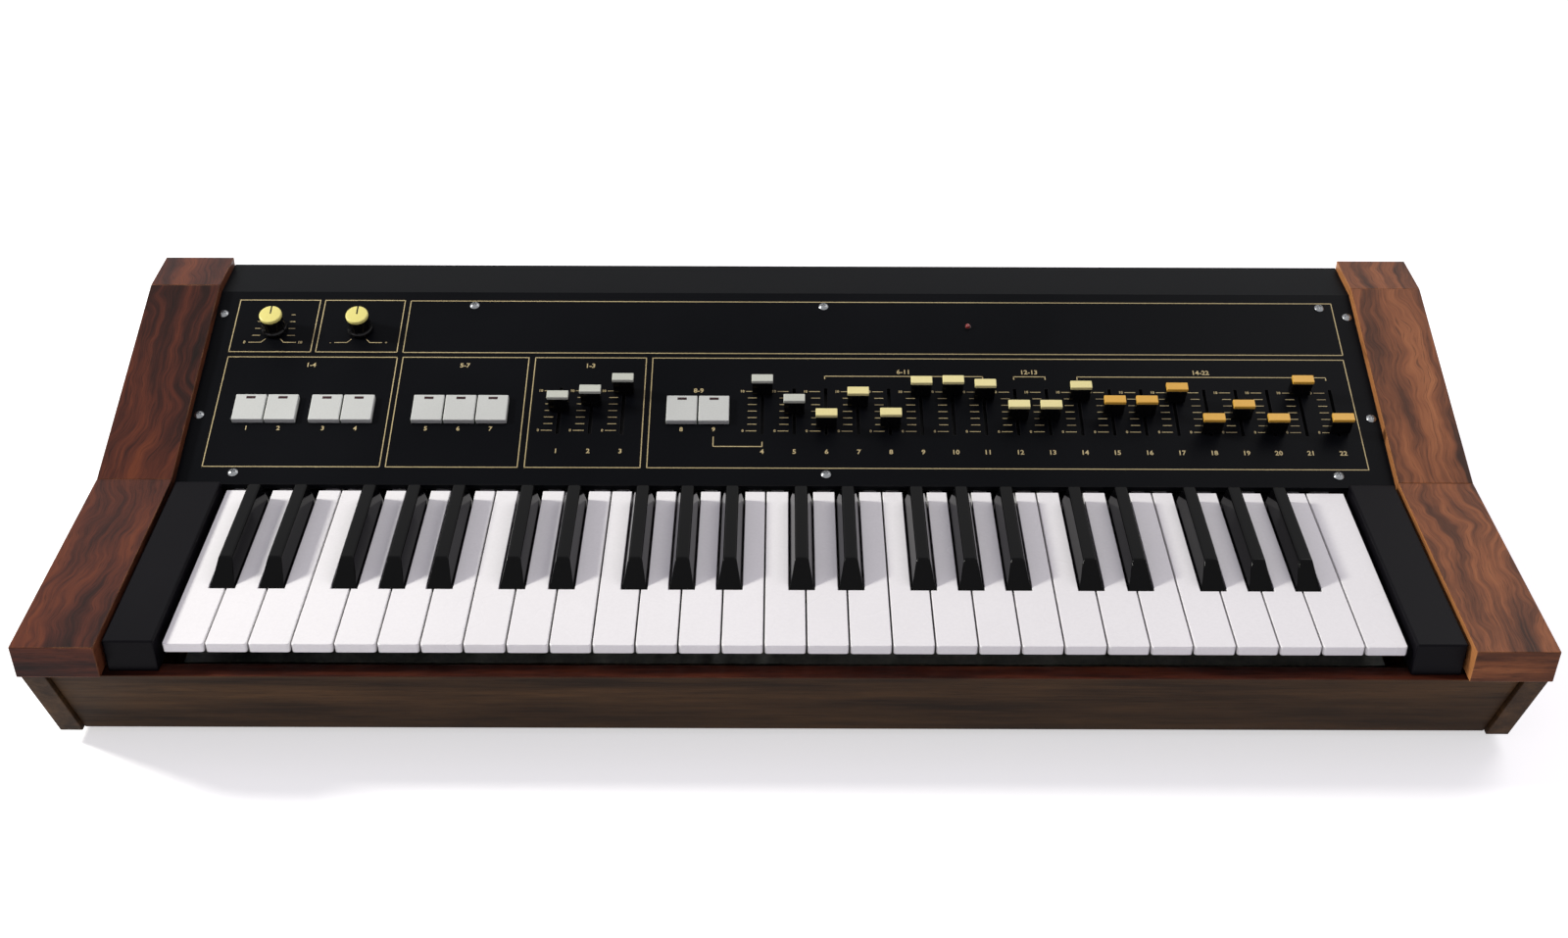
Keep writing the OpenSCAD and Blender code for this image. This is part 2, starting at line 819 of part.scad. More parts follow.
module slider(i) {
    body_d = slide_cap_d - 0.2;
    body_w = slide_knob_w - 0.6;
    gap = 0.8;
    cap_h = slide_knob_h - slide_cap_t;
    stem_w = slot_w - 2 * slot_clear;
    color(i < 5 ? "gainsboro" : i < 14 ? "khaki" : "sandybrown") placed() {
        on_panel(slide_x(i), slide_s(i)) {
            translate([-stem_w / 2, -stem_l / 2, -panel_t - groove_depth + 0.6])
                cube([stem_w, stem_l, panel_t + groove_depth + gap]);
            translate([-body_w / 2, -body_d / 2, gap]) cube([body_w, body_d, cap_h - gap]);
            translate([-slide_knob_w / 2, -slide_cap_d / 2, cap_h])
                cube([slide_knob_w, slide_cap_d, slide_cap_t]);
        }
    }
}

module button(group, i) {
    color("lightgray") placed() on_panel(button_x(group, i), control_row) {
        translate([-button_w / 2, -button_d / 2, -button_skirt])
            cube([button_w, button_d, button_skirt + button_h]);
        translate([-plunger_w / 2, -plunger_w / 2, -plunger_reach])
            cube([plunger_w, plunger_w, plunger_reach]);
    }
}

module knob(i) {
    gap = 0.8;
    skirt_h = 3;
    shaft_end = panel_t + rotary_h - 2.4;
    color("palegoldenrod") placed() on_panel(knob_x(i), knob_row) {
        rotate_extrude() polygon([
            [0, gap], [knob_r, gap], [knob_r, skirt_h], [knob_top_r, skirt_h + 1],
            [knob_top_r, knob_h - 0.8], [knob_top_r - 0.8, knob_h], [0, knob_h]]);
        translate([0, 0, -shaft_end]) cylinder(r = shaft_r, h = shaft_end + gap + eps);
    }
}

// ---- one call for each node ----

left_cheek();
right_cheek();
side_boards();
front_rail();
bottom_board();
control_panel();
panel_rails();
rear_panel();
key_end_blocks();
key_frame();
potentiometers();
circuit_boards();
power_transformer();
rear_jacks();
screws();
rubber_feet();
white_keys(0);  // keys_c
white_keys(1);  // keys_d
white_keys(2);  // keys_e
white_keys(3);  // keys_f
white_keys(4);  // keys_g
white_keys(5);  // keys_a
white_keys(6);  // keys_b
black_keys([0, 3]);  // left_sharps
black_keys([4]);  // middle_sharps
black_keys([1, 5]);  // right_sharps
power_rocker();
for (i = [0:1]) {
    knob(i);
}
for (group = [0:len(button_groups) - 1], i = [0:button_groups[group][1] - 1]) {
    button(group, i);
}
for (i = [0:slide_count - 1]) {
    slider(i);
}
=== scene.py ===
# Forty-nine-key synthesizer: wooden case, sloping steel control panel, sprung keyboard.
# Lengths are millimetres in the sections and metres on the meshes. The case is measured from the
# front faces and the tops of the white keys; the panel by x from its middle, by s up its slope
# from the front edge, and by h square to its face.
import math
import bmesh
import bpy
from mathutils import Matrix, Vector


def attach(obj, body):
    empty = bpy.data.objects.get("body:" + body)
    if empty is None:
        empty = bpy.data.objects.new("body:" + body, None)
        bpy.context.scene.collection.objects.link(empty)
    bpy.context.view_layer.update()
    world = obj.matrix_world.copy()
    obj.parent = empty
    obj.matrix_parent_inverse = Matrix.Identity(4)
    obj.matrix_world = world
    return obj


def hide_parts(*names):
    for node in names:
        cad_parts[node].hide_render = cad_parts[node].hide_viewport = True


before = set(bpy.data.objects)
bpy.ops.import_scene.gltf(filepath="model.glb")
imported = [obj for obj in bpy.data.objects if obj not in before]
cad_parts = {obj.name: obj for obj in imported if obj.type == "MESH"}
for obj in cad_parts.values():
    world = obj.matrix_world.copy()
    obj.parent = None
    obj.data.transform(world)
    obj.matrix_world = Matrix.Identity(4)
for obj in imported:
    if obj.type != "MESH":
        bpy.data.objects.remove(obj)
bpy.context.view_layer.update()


# Cheeks. Each is three mitred boards, 21 mm thick, that follow the top of the case: level beside
# the keys, sloping beside the panel, level again at the rear. Their faces are a rosewood veneer,
# glued, and the edges are lipped in a paler strip of the same wood. The left cheek is coloured
# darker as painted shade and the right one paler as painted light, standing in for how light falls.
MM = 0.001
KEY_FRONTS, KEY_TOPS = -0.164, 0.085
SLOPE = math.radians(18.1)
CHEEK_IN, CHEEK_OUT, CHEEK_T = 372.8, 418.4, 21
CHEEK_TOP, NOSE, KNEE, CREST, BACK = 7, -12, 148.1, 301.3, 340
CREST_Z = CHEEK_TOP + (CREST - KNEE) * math.tan(SLOPE)
LEDGE_IN, LEDGE_LAP = 360.8, 0.1
LEDGE_DROP, LEDGE_FRONT, LEDGE_REAR = 7.0, 151.8, 328.4
FACING = 0.9


def spot(x, y, z):
    """A point x across, y behind the key fronts and z above the key tops."""
    return Vector((x * MM, KEY_FRONTS + y * MM, KEY_TOPS + z * MM))


def knee(depth):
    return KNEE + depth * math.tan(SLOPE / 2), CHEEK_TOP - depth


def crest(depth):
    return CREST + depth * math.tan(SLOPE / 2), CREST_Z - depth


def on_slope(depth, y):
    start = knee(depth)
    return y, start[1] + (y - start[0]) * math.tan(SLOPE)


def round_edges(bm, edges, width, segments=2):
    bmesh.ops.bevel(bm, geom=list(edges), offset=width * MM, offset_type="OFFSET", affect="EDGES",
                    segments=segments, profile=0.5, material=-1, clamp_overlap=True)


def draw_out(bm, corners, along):
    """A solid: the outline through corners, drawn out by the vector along. Returns its edges."""
    face = bm.faces.new([bm.verts.new(c) for c in corners])
    grown = bmesh.ops.extrude_face_region(bm, geom=[face])["geom"]
    moved = [g for g in grown if isinstance(g, bmesh.types.BMVert)]
    bmesh.ops.translate(bm, verts=moved, vec=along)
    edges = {e for v in moved + list(face.verts) for e in v.link_edges}
    bmesh.ops.recalc_face_normals(bm, faces=list({f for e in edges for f in e.link_faces}))
    return edges


def board(bm, x0, x1, outline, eased=0.5):
    """A board from x0 to x1 whose side view is the (y, z) outline, with its edges eased."""
    edges = draw_out(bm, [spot(x0, y, z) for y, z in outline], Vector(((x1 - x0) * MM, 0, 0)))
    if eased:
        round_edges(bm, edges, eased)


def piece(name, bm, materials, body="case", stands_for=(), smooth=False):
    """Makes the object, and rides it on its body."""
    mesh = bpy.data.meshes.new(name)
    bm.to_mesh(mesh)
    bm.free()
    for material in materials:
        mesh.materials.append(material)
    made = bpy.data.objects.new(name, mesh)
    bpy.context.scene.collection.objects.link(made)
    if smooth:
        mesh.polygons.foreach_set("use_smooth", [True] * len(mesh.polygons))
        mesh.set_sharp_from_angle(angle=math.radians(50))
        made.modifiers.new("even_shading", "WEIGHTED_NORMAL").keep_sharp = True
    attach(made, body)
    if stands_for:
        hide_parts(*stands_for)


def srgb(red, green, blue):
    """A colour from its 0 to 255 values as seen, as the shaders want it."""
    def light(value):
        value /= 255
        return value / 12.92 if value <= 0.04045 else ((value + 0.055) / 1.055) ** 2.4
    return light(red), light(green), light(blue), 1.0


def node(tree, kind, inputs=None, **settings):
    """A shader node with its settings and its inputs, each a value or another node's output."""
    made = tree.nodes.new("ShaderNode" + kind)
    for key, value in settings.items():
        setattr(made, key, value)
    for key, value in (inputs or {}).items():
        if isinstance(value, bpy.types.NodeSocket):
            tree.links.new(value, made.inputs[key])
        else:
            made.inputs[key].default_value = value
    return made


def sums(tree, operation, first, second):
    return node(tree, "Math", {0: first, 1: second}, operation=operation).outputs[0]


def between(tree, mask, first, second):
    """first where the mask is 0, second where it is 1."""
    return node(tree, "Mix", {0: mask, 6: first, 7: second}, data_type="RGBA").outputs[2]


def ramp(tree, value, stops):
    """The value turned into a colour by (place, colour) stops."""
    made = node(tree, "ValToRGB", {0: value})
    colours = made.color_ramp.elements
    while len(colours) < len(stops):
        colours.new(0.5)
    for element, (place, colour) in zip(colours, stops):
        element.position = place
        element.color = colour
    return made.outputs[0]


def spread(tree, value, low, high, start=0.0, end=1.0):
    """The value carried from start..end to low..high."""
    return node(tree, "MapRange", {0: value, 1: start, 2: end, 3: low, 4: high}).outputs[0]


def group(name, inputs, outputs):
    """A node group, its input node and its output node."""
    tree = bpy.data.node_groups.new(name, "ShaderNodeTree")
    for socket in inputs:
        kind = "NodeSocketVector" if socket == "Vector" else "NodeSocketFloat"
        tree.interface.new_socket(socket, in_out="INPUT", socket_type=kind)
    for socket in outputs:
        tree.interface.new_socket(socket, in_out="OUTPUT", socket_type="NodeSocketFloat")
    return tree, tree.nodes.new("NodeGroupInput"), tree.nodes.new("NodeGroupOutput")


def use(tree, shared, inputs):
    return node(tree, "Group", inputs, node_tree=shared)


def veneer_figure():
    """Rosewood figure along Y: broad flowing bands, fine lines and open pores."""
    tree, into, out = group("veneer_figure", ["Vector", "Flow"], ["Bands", "Lines", "Pores"])
    bend = node(tree, "TexNoise", {"Vector": into.outputs["Vector"], "Scale": 13.0, "Detail": 3.0,
                                   "Roughness": 0.55})
    swing = sums(tree, "MULTIPLY", sums(tree, "SUBTRACT", bend.outputs[0], 0.5),
                 into.outputs["Flow"])
    apart = node(tree, "SeparateXYZ", {0: into.outputs["Vector"]})
    across = sums(tree, "ADD", apart.outputs[0], swing)

    def streaks(length_share, scale, detail, roughness):
        joined = node(tree, "CombineXYZ", {
            0: across, 1: sums(tree, "MULTIPLY", apart.outputs[1], length_share),
            2: apart.outputs[2]})
        return node(tree, "TexNoise", {"Vector": joined.outputs[0], "Scale": scale,
                                       "Detail": detail, "Roughness": roughness}).outputs[0]

    tree.links.new(streaks(0.11, 58.0, 6.0, 0.58), out.inputs["Bands"])
    tree.links.new(streaks(0.04, 330.0, 4.0, 0.65), out.inputs["Lines"])
    tree.links.new(spread(tree, streaks(0.045, 1500.0, 2.0, 0.5), 0, 1, 0.56, 0.7),
                   out.inputs["Pores"])
    return tree


def painted_highlight_edges():
    """A mask of the edges within Radius, broken up by noise, along which a paler colour is painted
    on as a highlight.
    """
    tree, into, out = group("painted_highlight_edges", ["Vector", "Radius"], ["Mask"])
    rounded = node(tree, "Bevel", {"Radius": into.outputs["Radius"]}, samples=4)
    true = node(tree, "NewGeometry")
    facing = node(tree, "VectorMath", {0: rounded.outputs[0], 1: true.outputs["Normal"]},
                  operation="DOT_PRODUCT").outputs["Value"]
    patchy = node(tree, "TexNoise", {"Vector": into.outputs["Vector"], "Scale": 60.0,
                                     "Detail": 4.0}).outputs[0]
    edge = spread(tree, facing, 1.0, 0.0, 0.75, 0.97)
    tree.links.new(sums(tree, "MULTIPLY", edge, spread(tree, patchy, 0.25, 1.0, 0.38, 0.6)),
                   out.inputs["Mask"])
    return tree


FIGURE = veneer_figure()
PAINTED_HIGHLIGHT = painted_highlight_edges()


def new_material(name):
    made = bpy.data.materials.new(name)
    made.use_nodes = True
    tree = made.node_tree
    return made, tree, tree.nodes["Principled BSDF"]


BAND_SHARE, PORE_SHARE = 0.72, 0.55
BAND_STOPS = (0.37, 0.46, 0.54, 0.66)


def veneer(name, colours, turn=(0, 0, 0), shift=(0, 0, 0), flow=0.05, gloss=0.36, painted_highlight=None,
           coat=0.03, specular=0.1):
    """Lacquered veneer: colours from the darkest band to the palest, turn lays its length on Y."""
    material, tree, shader = new_material(name)
    place = node(tree, "TexCoord").outputs["Object"]
    laid = node(tree, "Mapping", {"Vector": place, "Rotation": turn, "Location": shift}).outputs[0]
    figure = use(tree, FIGURE, {"Vector": laid, "Flow": flow})
    bands, lines, pores = figure.outputs
    seen = sums(tree, "ADD", sums(tree, "MULTIPLY", bands, BAND_SHARE),
                sums(tree, "MULTIPLY", lines, 1 - BAND_SHARE))
    colour = ramp(tree, seen, list(zip(BAND_STOPS, colours)))
    colour = between(tree, sums(tree, "MULTIPLY", pores, PORE_SHARE), colour, colours[0])
    # Edges painted paler in patches: a painted highlight.
    if painted_highlight:
        mask = use(tree, PAINTED_HIGHLIGHT, {"Vector": place, "Radius": 0.0011}).outputs[0]
        colour = between(tree, sums(tree, "MULTIPLY", mask, 0.75), colour, painted_highlight)
    tree.links.new(colour, shader.inputs["Base Color"])
    tree.links.new(spread(tree, bands, gloss + 0.08, gloss - 0.04), shader.inputs["Roughness"])
    relief = sums(tree, "SUBTRACT", sums(tree, "MULTIPLY", lines, 0.4), pores)
    bump = node(tree, "Bump", {"Height": relief, "Strength": 0.22, "Distance": 0.0002})
    tree.links.new(bump.outputs[0], shader.inputs["Normal"])
    shader.inputs["Specular IOR Level"].default_value = specular
    shader.inputs["Coat Weight"].default_value = coat
    shader.inputs["Coat Roughness"].default_value = 0.3
    return material


# Two copies of one rosewood: the left palette is darkened as painted shade and the right one
# lightened as painted light. The left palette also tints the rail's top.
LEFT_WOOD_WITH_PAINTED_LIGHTING = [srgb(24, 11, 8), srgb(49, 23, 17), srgb(76, 37, 25), srgb(104, 53, 31)]
RIGHT_WOOD_WITH_PAINTED_LIGHT = [srgb(52, 29, 19), srgb(98, 57, 36), srgb(134, 80, 49), srgb(166, 105, 65)]
# The pale tan painted along the cheeks' edges as a highlight.
PAINTED_HIGHLIGHT_WOOD = srgb(196, 140, 92)
ALONG_SLOPE = (-SLOPE, 0, 0)
ACROSS = (0, 0, math.radians(90))

# The lipping palettes are paler than the faces. They carry the same painted shade on the left and
# painted light on the right.
LEFT_LIPPING_WITH_PAINTED_SHADE = [LEFT_WOOD_WITH_PAINTED_LIGHTING[0], srgb(92, 52, 34), srgb(92, 52, 34), LEFT_WOOD_WITH_PAINTED_LIGHTING[3]]
RIGHT_LIPPING_WITH_PAINTED_LIGHT = [srgb(110, 66, 38), srgb(176, 118, 70), srgb(176, 118, 70), srgb(188, 130, 82)]

for side, sign, colours, lipping_painted_lighting in (("left", -1, LEFT_WOOD_WITH_PAINTED_LIGHTING, LEFT_LIPPING_WITH_PAINTED_SHADE),
                                     ("right", 1, RIGHT_WOOD_WITH_PAINTED_LIGHT, RIGHT_LIPPING_WITH_PAINTED_LIGHT)):
    nose_wood = veneer(side + "_nose_veneer_painted_lighting", colours, ACROSS, (0.02, 0.4, 0), 0.01, painted_highlight=PAINTED_HIGHLIGHT_WOOD)
    lip_wood = veneer(side + "_lipping", lipping_painted_lighting, flow=0.004, painted_highlight=PAINTED_HIGHLIGHT_WOOD)
    outlines = {
        "front": [(NOSE, CHEEK_TOP), knee(0), knee(CHEEK_T), (NOSE, CHEEK_TOP - CHEEK_T)],
        "slope": [knee(0), crest(0), crest(CHEEK_T), knee(CHEEK_T)],
        "rear": [crest(0), (BACK, CREST_Z), (BACK, CREST_Z - CHEEK_T), crest(CHEEK_T)]}
    ledges = {
        "slope": [on_slope(LEDGE_DROP, LEDGE_FRONT), crest(LEDGE_DROP), crest(CHEEK_T),
                  on_slope(CHEEK_T, LEDGE_FRONT)],
        "rear": [crest(LEDGE_DROP), (LEDGE_REAR, CREST_Z - LEDGE_DROP),
                 (LEDGE_REAR, CREST_Z - CHEEK_T), crest(CHEEK_T)]}
    for part, outline in outlines.items():
        top_wood = veneer(f"{side}_{part}_veneer", colours,
                          ALONG_SLOPE if part == "slope" else (0, 0, 0),
                          (0.31 * sign, 0.05, 0), painted_highlight=PAINTED_HIGHLIGHT_WOOD)
        bm = bmesh.new()
        board(bm, sign * CHEEK_IN, sign * CHEEK_OUT, outline)
        if part in ledges:
            board(bm, sign * LEDGE_IN, sign * (CHEEK_IN + LEDGE_LAP), ledges[part], eased=0)
        bmesh.ops.recalc_face_normals(bm, faces=bm.faces)
        for face in bm.faces:
            if abs(face.normal.x) > FACING:
                face.material_index = 1
            elif face.normal.y < -FACING:
                face.material_index = 2
        piece(f"{side}_cheek_{part}", bm, [top_wood, lip_wood, nose_wood],
              stands_for=[side + "_cheek"])


# Case boards. Two side boards stand under the cheeks, the front rail is let in between them and
# leans back with them, and a plywood bottom closes the case. Side boards and rail are glued up
# from the same veneered chipboard, with a dark shadow joint between them.
SIDE_OUT, SIDE_T, CASE_BOTTOM = 416.2, 13, -77
SIDE_FRONT, RAIL_FRONT, RAIL_TOP, RAIL_T, LEAN = -11.5, -7.5, -16.5, 10.5, 0.43
SIDE_IN = SIDE_OUT - SIDE_T
SHADOW_JOINT = 0.4

CASE_WOOD = [srgb(34, 22, 12), srgb(53, 36, 21), srgb(66, 46, 27), srgb(84, 59, 35)]
side_wood = veneer("side_veneer", CASE_WOOD, shift=(0, 0.2, 0), flow=0.01, gloss=0.5,
                   coat=0.0, specular=0.05)
# The rail's edges are painted paler as a highlight.
rail_wood = veneer("rail_veneer", CASE_WOOD, ACROSS, flow=0.004, gloss=0.5, coat=0.0,
                   specular=0.05, painted_highlight=srgb(120, 74, 48))
# The rail's top faces take the redder left-cheek palette: a painted tint of sunlight on the strip
# along its top.
rail_top_painted_sunlit_wood = veneer("rail_top_veneer_painted_sunlit", LEFT_WOOD_WITH_PAINTED_LIGHTING, ACROSS, flow=0.004)

for side, sign in (("left", -1), ("right", 1)):
    top = CHEEK_TOP - CHEEK_T
    bm = bmesh.new()
    board(bm, sign * SIDE_IN, sign * SIDE_OUT, [
        (SIDE_FRONT, top), knee(CHEEK_T), crest(CHEEK_T), (BACK, CREST_Z - CHEEK_T),
        (BACK, CASE_BOTTOM), (SIDE_FRONT + (top - CASE_BOTTOM) * LEAN, CASE_BOTTOM)])
    bmesh.ops.recalc_face_normals(bm, faces=bm.faces)
    piece(side + "_side_board", bm, [side_wood], stands_for=["side_boards"])

rail_foot = RAIL_FRONT + (RAIL_TOP - CASE_BOTTOM) * LEAN
bm = bmesh.new()
board(bm, SHADOW_JOINT - SIDE_IN, SIDE_IN - SHADOW_JOINT, [
    (RAIL_FRONT, RAIL_TOP), (RAIL_FRONT + RAIL_T, RAIL_TOP),
    (rail_foot + RAIL_T, CASE_BOTTOM), (rail_foot, CASE_BOTTOM)])
bmesh.ops.recalc_face_normals(bm, faces=bm.faces)
# Its top faces get that painted sunlit tint.
for face in bm.faces:
    if face.normal.z > FACING:
        face.material_index = 1
piece("front_rail_board", bm, [rail_wood, rail_top_painted_sunlit_wood],
      stands_for=["front_rail"])


def mottle():
    """Slow and fine unevenness for moulded, painted and metal faces."""
    tree, into, out = group("mottle", ["Vector", "Scale"], ["Cloud", "Grain"])
    cloud = node(tree, "TexNoise", {"Vector": into.outputs["Vector"], "Scale": 9.0, "Detail": 3.0})
    grain = node(tree, "TexNoise", {"Vector": into.outputs["Vector"],
                                    "Scale": into.outputs["Scale"], "Detail": 2.0})
    tree.links.new(cloud.outputs[0], out.inputs["Cloud"])
    tree.links.new(grain.outputs[0], out.inputs["Grain"])
    return tree


MOTTLE = mottle()


def finish_of(name, colour, second, rough=(0.3, 0.4), grain=900.0, relief=0.08, stretch=(1, 1, 1),
              metal=0.0, specular=0.5, coat=0.0, painted_highlight=None):
    """A moulded, painted or metal finish that drifts between two close colours."""
    material, tree, shader = new_material(name)
    place = node(tree, "TexCoord").outputs["Object"]
    laid = node(tree, "Mapping", {"Vector": place, "Scale": stretch}).outputs[0]
    cloud, fine = use(tree, MOTTLE, {"Vector": laid, "Scale": grain}).outputs
    mixed = sums(tree, "ADD", sums(tree, "MULTIPLY", cloud, 0.6), sums(tree, "MULTIPLY", fine, 0.4))
    shade = between(tree, spread(tree, mixed, 0, 1, 0.38, 0.62), colour, second)
    # Where a highlight colour is given, the edges are painted paler in patches: a painted
    # highlight.
    if painted_highlight:
        mask = use(tree, PAINTED_HIGHLIGHT, {"Vector": place, "Radius": 0.0006}).outputs[0]
        shade = between(tree, sums(tree, "MULTIPLY", mask, 0.6), shade, painted_highlight)
    tree.links.new(shade, shader.inputs["Base Color"])
    tree.links.new(spread(tree, cloud, rough[0], rough[1], 0.35, 0.65), shader.inputs["Roughness"])
    bump = node(tree, "Bump", {"Height": fine, "Strength": relief, "Distance": 0.0002})
    tree.links.new(bump.outputs[0], shader.inputs["Normal"])
    shader.inputs["Metallic"].default_value = metal
    shader.inputs["Specular IOR Level"].default_value = specular
    shader.inputs["Coat Weight"].default_value = coat
    shader.inputs["Coat Roughness"].default_value = 0.1
    return material


def dress(name, material):
    """Gives a CAD piece that stays its finish."""
    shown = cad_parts[name]
    shown.data.materials.clear()
    shown.data.materials.append(material)


plywood = veneer("plywood", [srgb(150, 112, 74), srgb(172, 132, 90), srgb(184, 146, 102),
                             srgb(200, 164, 120)], flow=0.006, gloss=0.6, coat=0.0)
dress("bottom_board", plywood)


# Feet. Four turned rubber feet stand under the bottom board, near its corners. Each is held by a
# steel screw sunk in its middle.
FOOT_X, FOOT_H, FOOT_R, FOOT_Y = 363.2, 8, 10, (50, 300)
RIGHTWARD, REARWARD, UP = (1, 0, 0), (0, 1, 0), (0, 0, 1)
SAME = 1e-6


def turned(bm, profile, middle, axis, aside, steps=40, closed=False):
    """A turned solid. The profile is (radius, distance along the axis) from middle."""
    axis, aside = Vector(axis), Vector(aside)
    line = [bm.verts.new(middle + aside * r * MM + axis * d * MM) for r, d in profile]
    pairs = list(zip(line, line[1:])) + ([(line[-1], line[0])] if closed else [])
    edges = [bm.edges.new(pair) for pair in pairs]
    bmesh.ops.spin(bm, geom=line + edges, cent=middle, axis=axis, dvec=(0, 0, 0),
                   angle=2 * math.pi, steps=steps, use_merge=True,
                   use_normal_flip=False, use_duplicate=False)
    bmesh.ops.remove_doubles(bm, verts=bm.verts, dist=SAME)
    bmesh.ops.recalc_face_normals(bm, faces=bm.faces)


rubber = finish_of("foot_rubber", srgb(24, 24, 25), srgb(36, 35, 35), (0.7, 0.85), 700.0, 0.3)
screw_steel = finish_of("screw_steel", srgb(122, 124, 128), srgb(150, 152, 155), (0.22, 0.34),
                        600.0, 0.05, metal=1.0)
for number, (x, y) in enumerate((x, y) for x in (-FOOT_X, FOOT_X) for y in FOOT_Y):
    under = spot(x, y, CASE_BOTTOM)
    bm = bmesh.new()
    turned(bm, [(0, 0), (FOOT_R, 0), (FOOT_R - 0.1, -1), (FOOT_R - 0.9, -7),
                (FOOT_R - 1.8, -FOOT_H), (5, -FOOT_H), (4.6, -7.6), (4.6, -4), (0, -4)],
           under, UP, RIGHTWARD)
    piece(f"foot_{number + 1}", bm, [rubber], stands_for=["rubber_feet"],
          smooth=True)
    bm = bmesh.new()
    turned(bm, [(0, -3.9), (3.6, -3.9), (3.4, -4.8), (2.4, -5.6), (0, -5.9)], under, UP,
           RIGHTWARD, steps=24)
    piece(f"foot_screw_{number + 1}", bm, [screw_steel], smooth=True)


# Inside. A folded steel tray carries the keyboard and its pivot rod; the slide and rotary
# potentiometers and the push switches sit on a circuit board under the panel, and a second board
# and the mains transformer stand on the bottom.
zinc = finish_of("zinc_plated_steel", srgb(150, 152, 150), srgb(178, 178, 172), (0.3, 0.5), 300.0,
                 0.06, metal=1.0)
# The potentiometers are coloured near black so that the slots over them read dark: painted shade in
# the slots.
pot_can_dark_as_painted_shade = finish_of("potentiometer_cans_dark_as_painted_shade", srgb(16, 16, 17), srgb(26, 26, 27), (0.5, 0.6), 900.0,
                    0.08, specular=0.2)
board_green = finish_of("circuit_board", srgb(22, 70, 42), srgb(34, 92, 52), (0.3, 0.45), 1200.0,
                        0.1, stretch=(1, 0.2, 1))
iron = finish_of("transformer_iron", srgb(52, 52, 54), srgb(78, 74, 70), (0.4, 0.6), 900.0, 0.3,
                 stretch=(1, 12, 1), metal=0.6)
dress("key_frame", zinc)
dress("panel_rails", zinc)
dress("potentiometers", pot_can_dark_as_painted_shade)
dress("circuit_boards", board_green)
dress("power_transformer", iron)


# Control panel. One sheet of 1.6 mm steel, folded down at the front and at the rear, punched for
# the controls and sprayed satin black; the lines, scales and numbers are screen-printed on it in
# a greyish gold.
PANEL_FRONT = (150.2, 2.005)
PANEL = Matrix.Translation(spot(0, *PANEL_FRONT)) @ Matrix.Rotation(SLOPE, 4, "X")
LINE, THIN_LINE, INK, BOLD = 0.6, 0.45, 0.06, 0.03
CAPITAL = 0.7
SCALE_FIGURE, ROW_FIGURE, KNOB_FIGURE, BUTTON_FIGURE = 1.9, 3.4, 2.1, 3.2
ROW = 59


def on_panel(x, s, h=0.0):
    return PANEL @ Matrix.Translation(Vector((x, s, h)) * MM)


def panel_box(name):
    """The lowest and highest x, s and h of a CAD piece, in millimetres."""
    back = PANEL.inverted()
    corners = [back @ v.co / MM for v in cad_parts[name].data.vertices]
    return [Vector(end(c[k] for c in corners) for k in range(3)) for end in (min, max)]


def block(bm, place, size, eased=0.0, segments=2):
    """A block of that size about place, with its edges rounded."""
    scale = Matrix.Diagonal((*(Vector(size) * MM), 1))
    made = bmesh.ops.create_cube(bm, size=1, matrix=place @ scale)["verts"]
    if eased:
        round_edges(bm, {e for v in made for e in v.link_edges}, eased, segments)


def stroke(bm, x0, s0, x1, s1, width=LINE):
    """A printed line from (x0, s0) to (x1, s1)."""
    run, rise = x1 - x0, s1 - s0
    turn = Matrix.Rotation(math.atan2(rise, run), 4, "Z")
    block(bm, on_panel((x0 + x1) / 2, (s0 + s1) / 2, INK / 2) @ turn,
          (math.hypot(run, rise) + width, width, INK))


def figures(bm, text, x, s, height):
    """Printed figures, centred on (x, s)."""
    curve = bpy.data.curves.new("figures", "FONT")
    curve.body, curve.size, curve.extrude = text, height / CAPITAL * MM, INK / 2 * MM
    curve.align_x, curve.align_y, curve.resolution_u = "CENTER", "CENTER", 2
    curve.offset = height * BOLD * MM
    written = bpy.data.objects.new("figures", curve)
    mesh = bpy.data.meshes.new_from_object(written)
    mesh.transform(on_panel(x, s, INK / 2))
    bm.from_mesh(mesh)
    bpy.data.objects.remove(written)
    bpy.data.meshes.remove(mesh)


# The panel's edges are painted paler as a highlight.
panel_paint = finish_of("panel_satin_black", srgb(6, 7, 10), srgb(11, 12, 15), (0.36, 0.44),
                        1400.0, 0.05, specular=0.035, painted_highlight=srgb(58, 56, 54))
gold_ink = finish_of("printed_gold", srgb(178, 162, 118), srgb(198, 182, 136), (0.5, 0.6), 800.0,
                     0.02, specular=0.2)
dress("control_panel", panel_paint)

boxes = [(-358.7, -306.1, 107.2, 152.3), (-302.8, -250.4, 107.2, 152.3),
         (-246.5, 359.3, 107, 152), (-358.3, -249.5, 13.7, 102.8), (-245.8, -164.8, 13.7, 102.9),
         (-160.5, -89.3, 13.7, 102.9), (-85.2, 358.8, 13.7, 102.9)]
bm = bmesh.new()
for x0, x1, s0, s1 in boxes:
    for line in ((x0, s0, x1, s0), (x1, s0, x1, s1), (x1, s1, x0, s1), (x0, s1, x0, s0)):
        stroke(bm, *line)
piece("printed_frames", bm, [gold_ink])

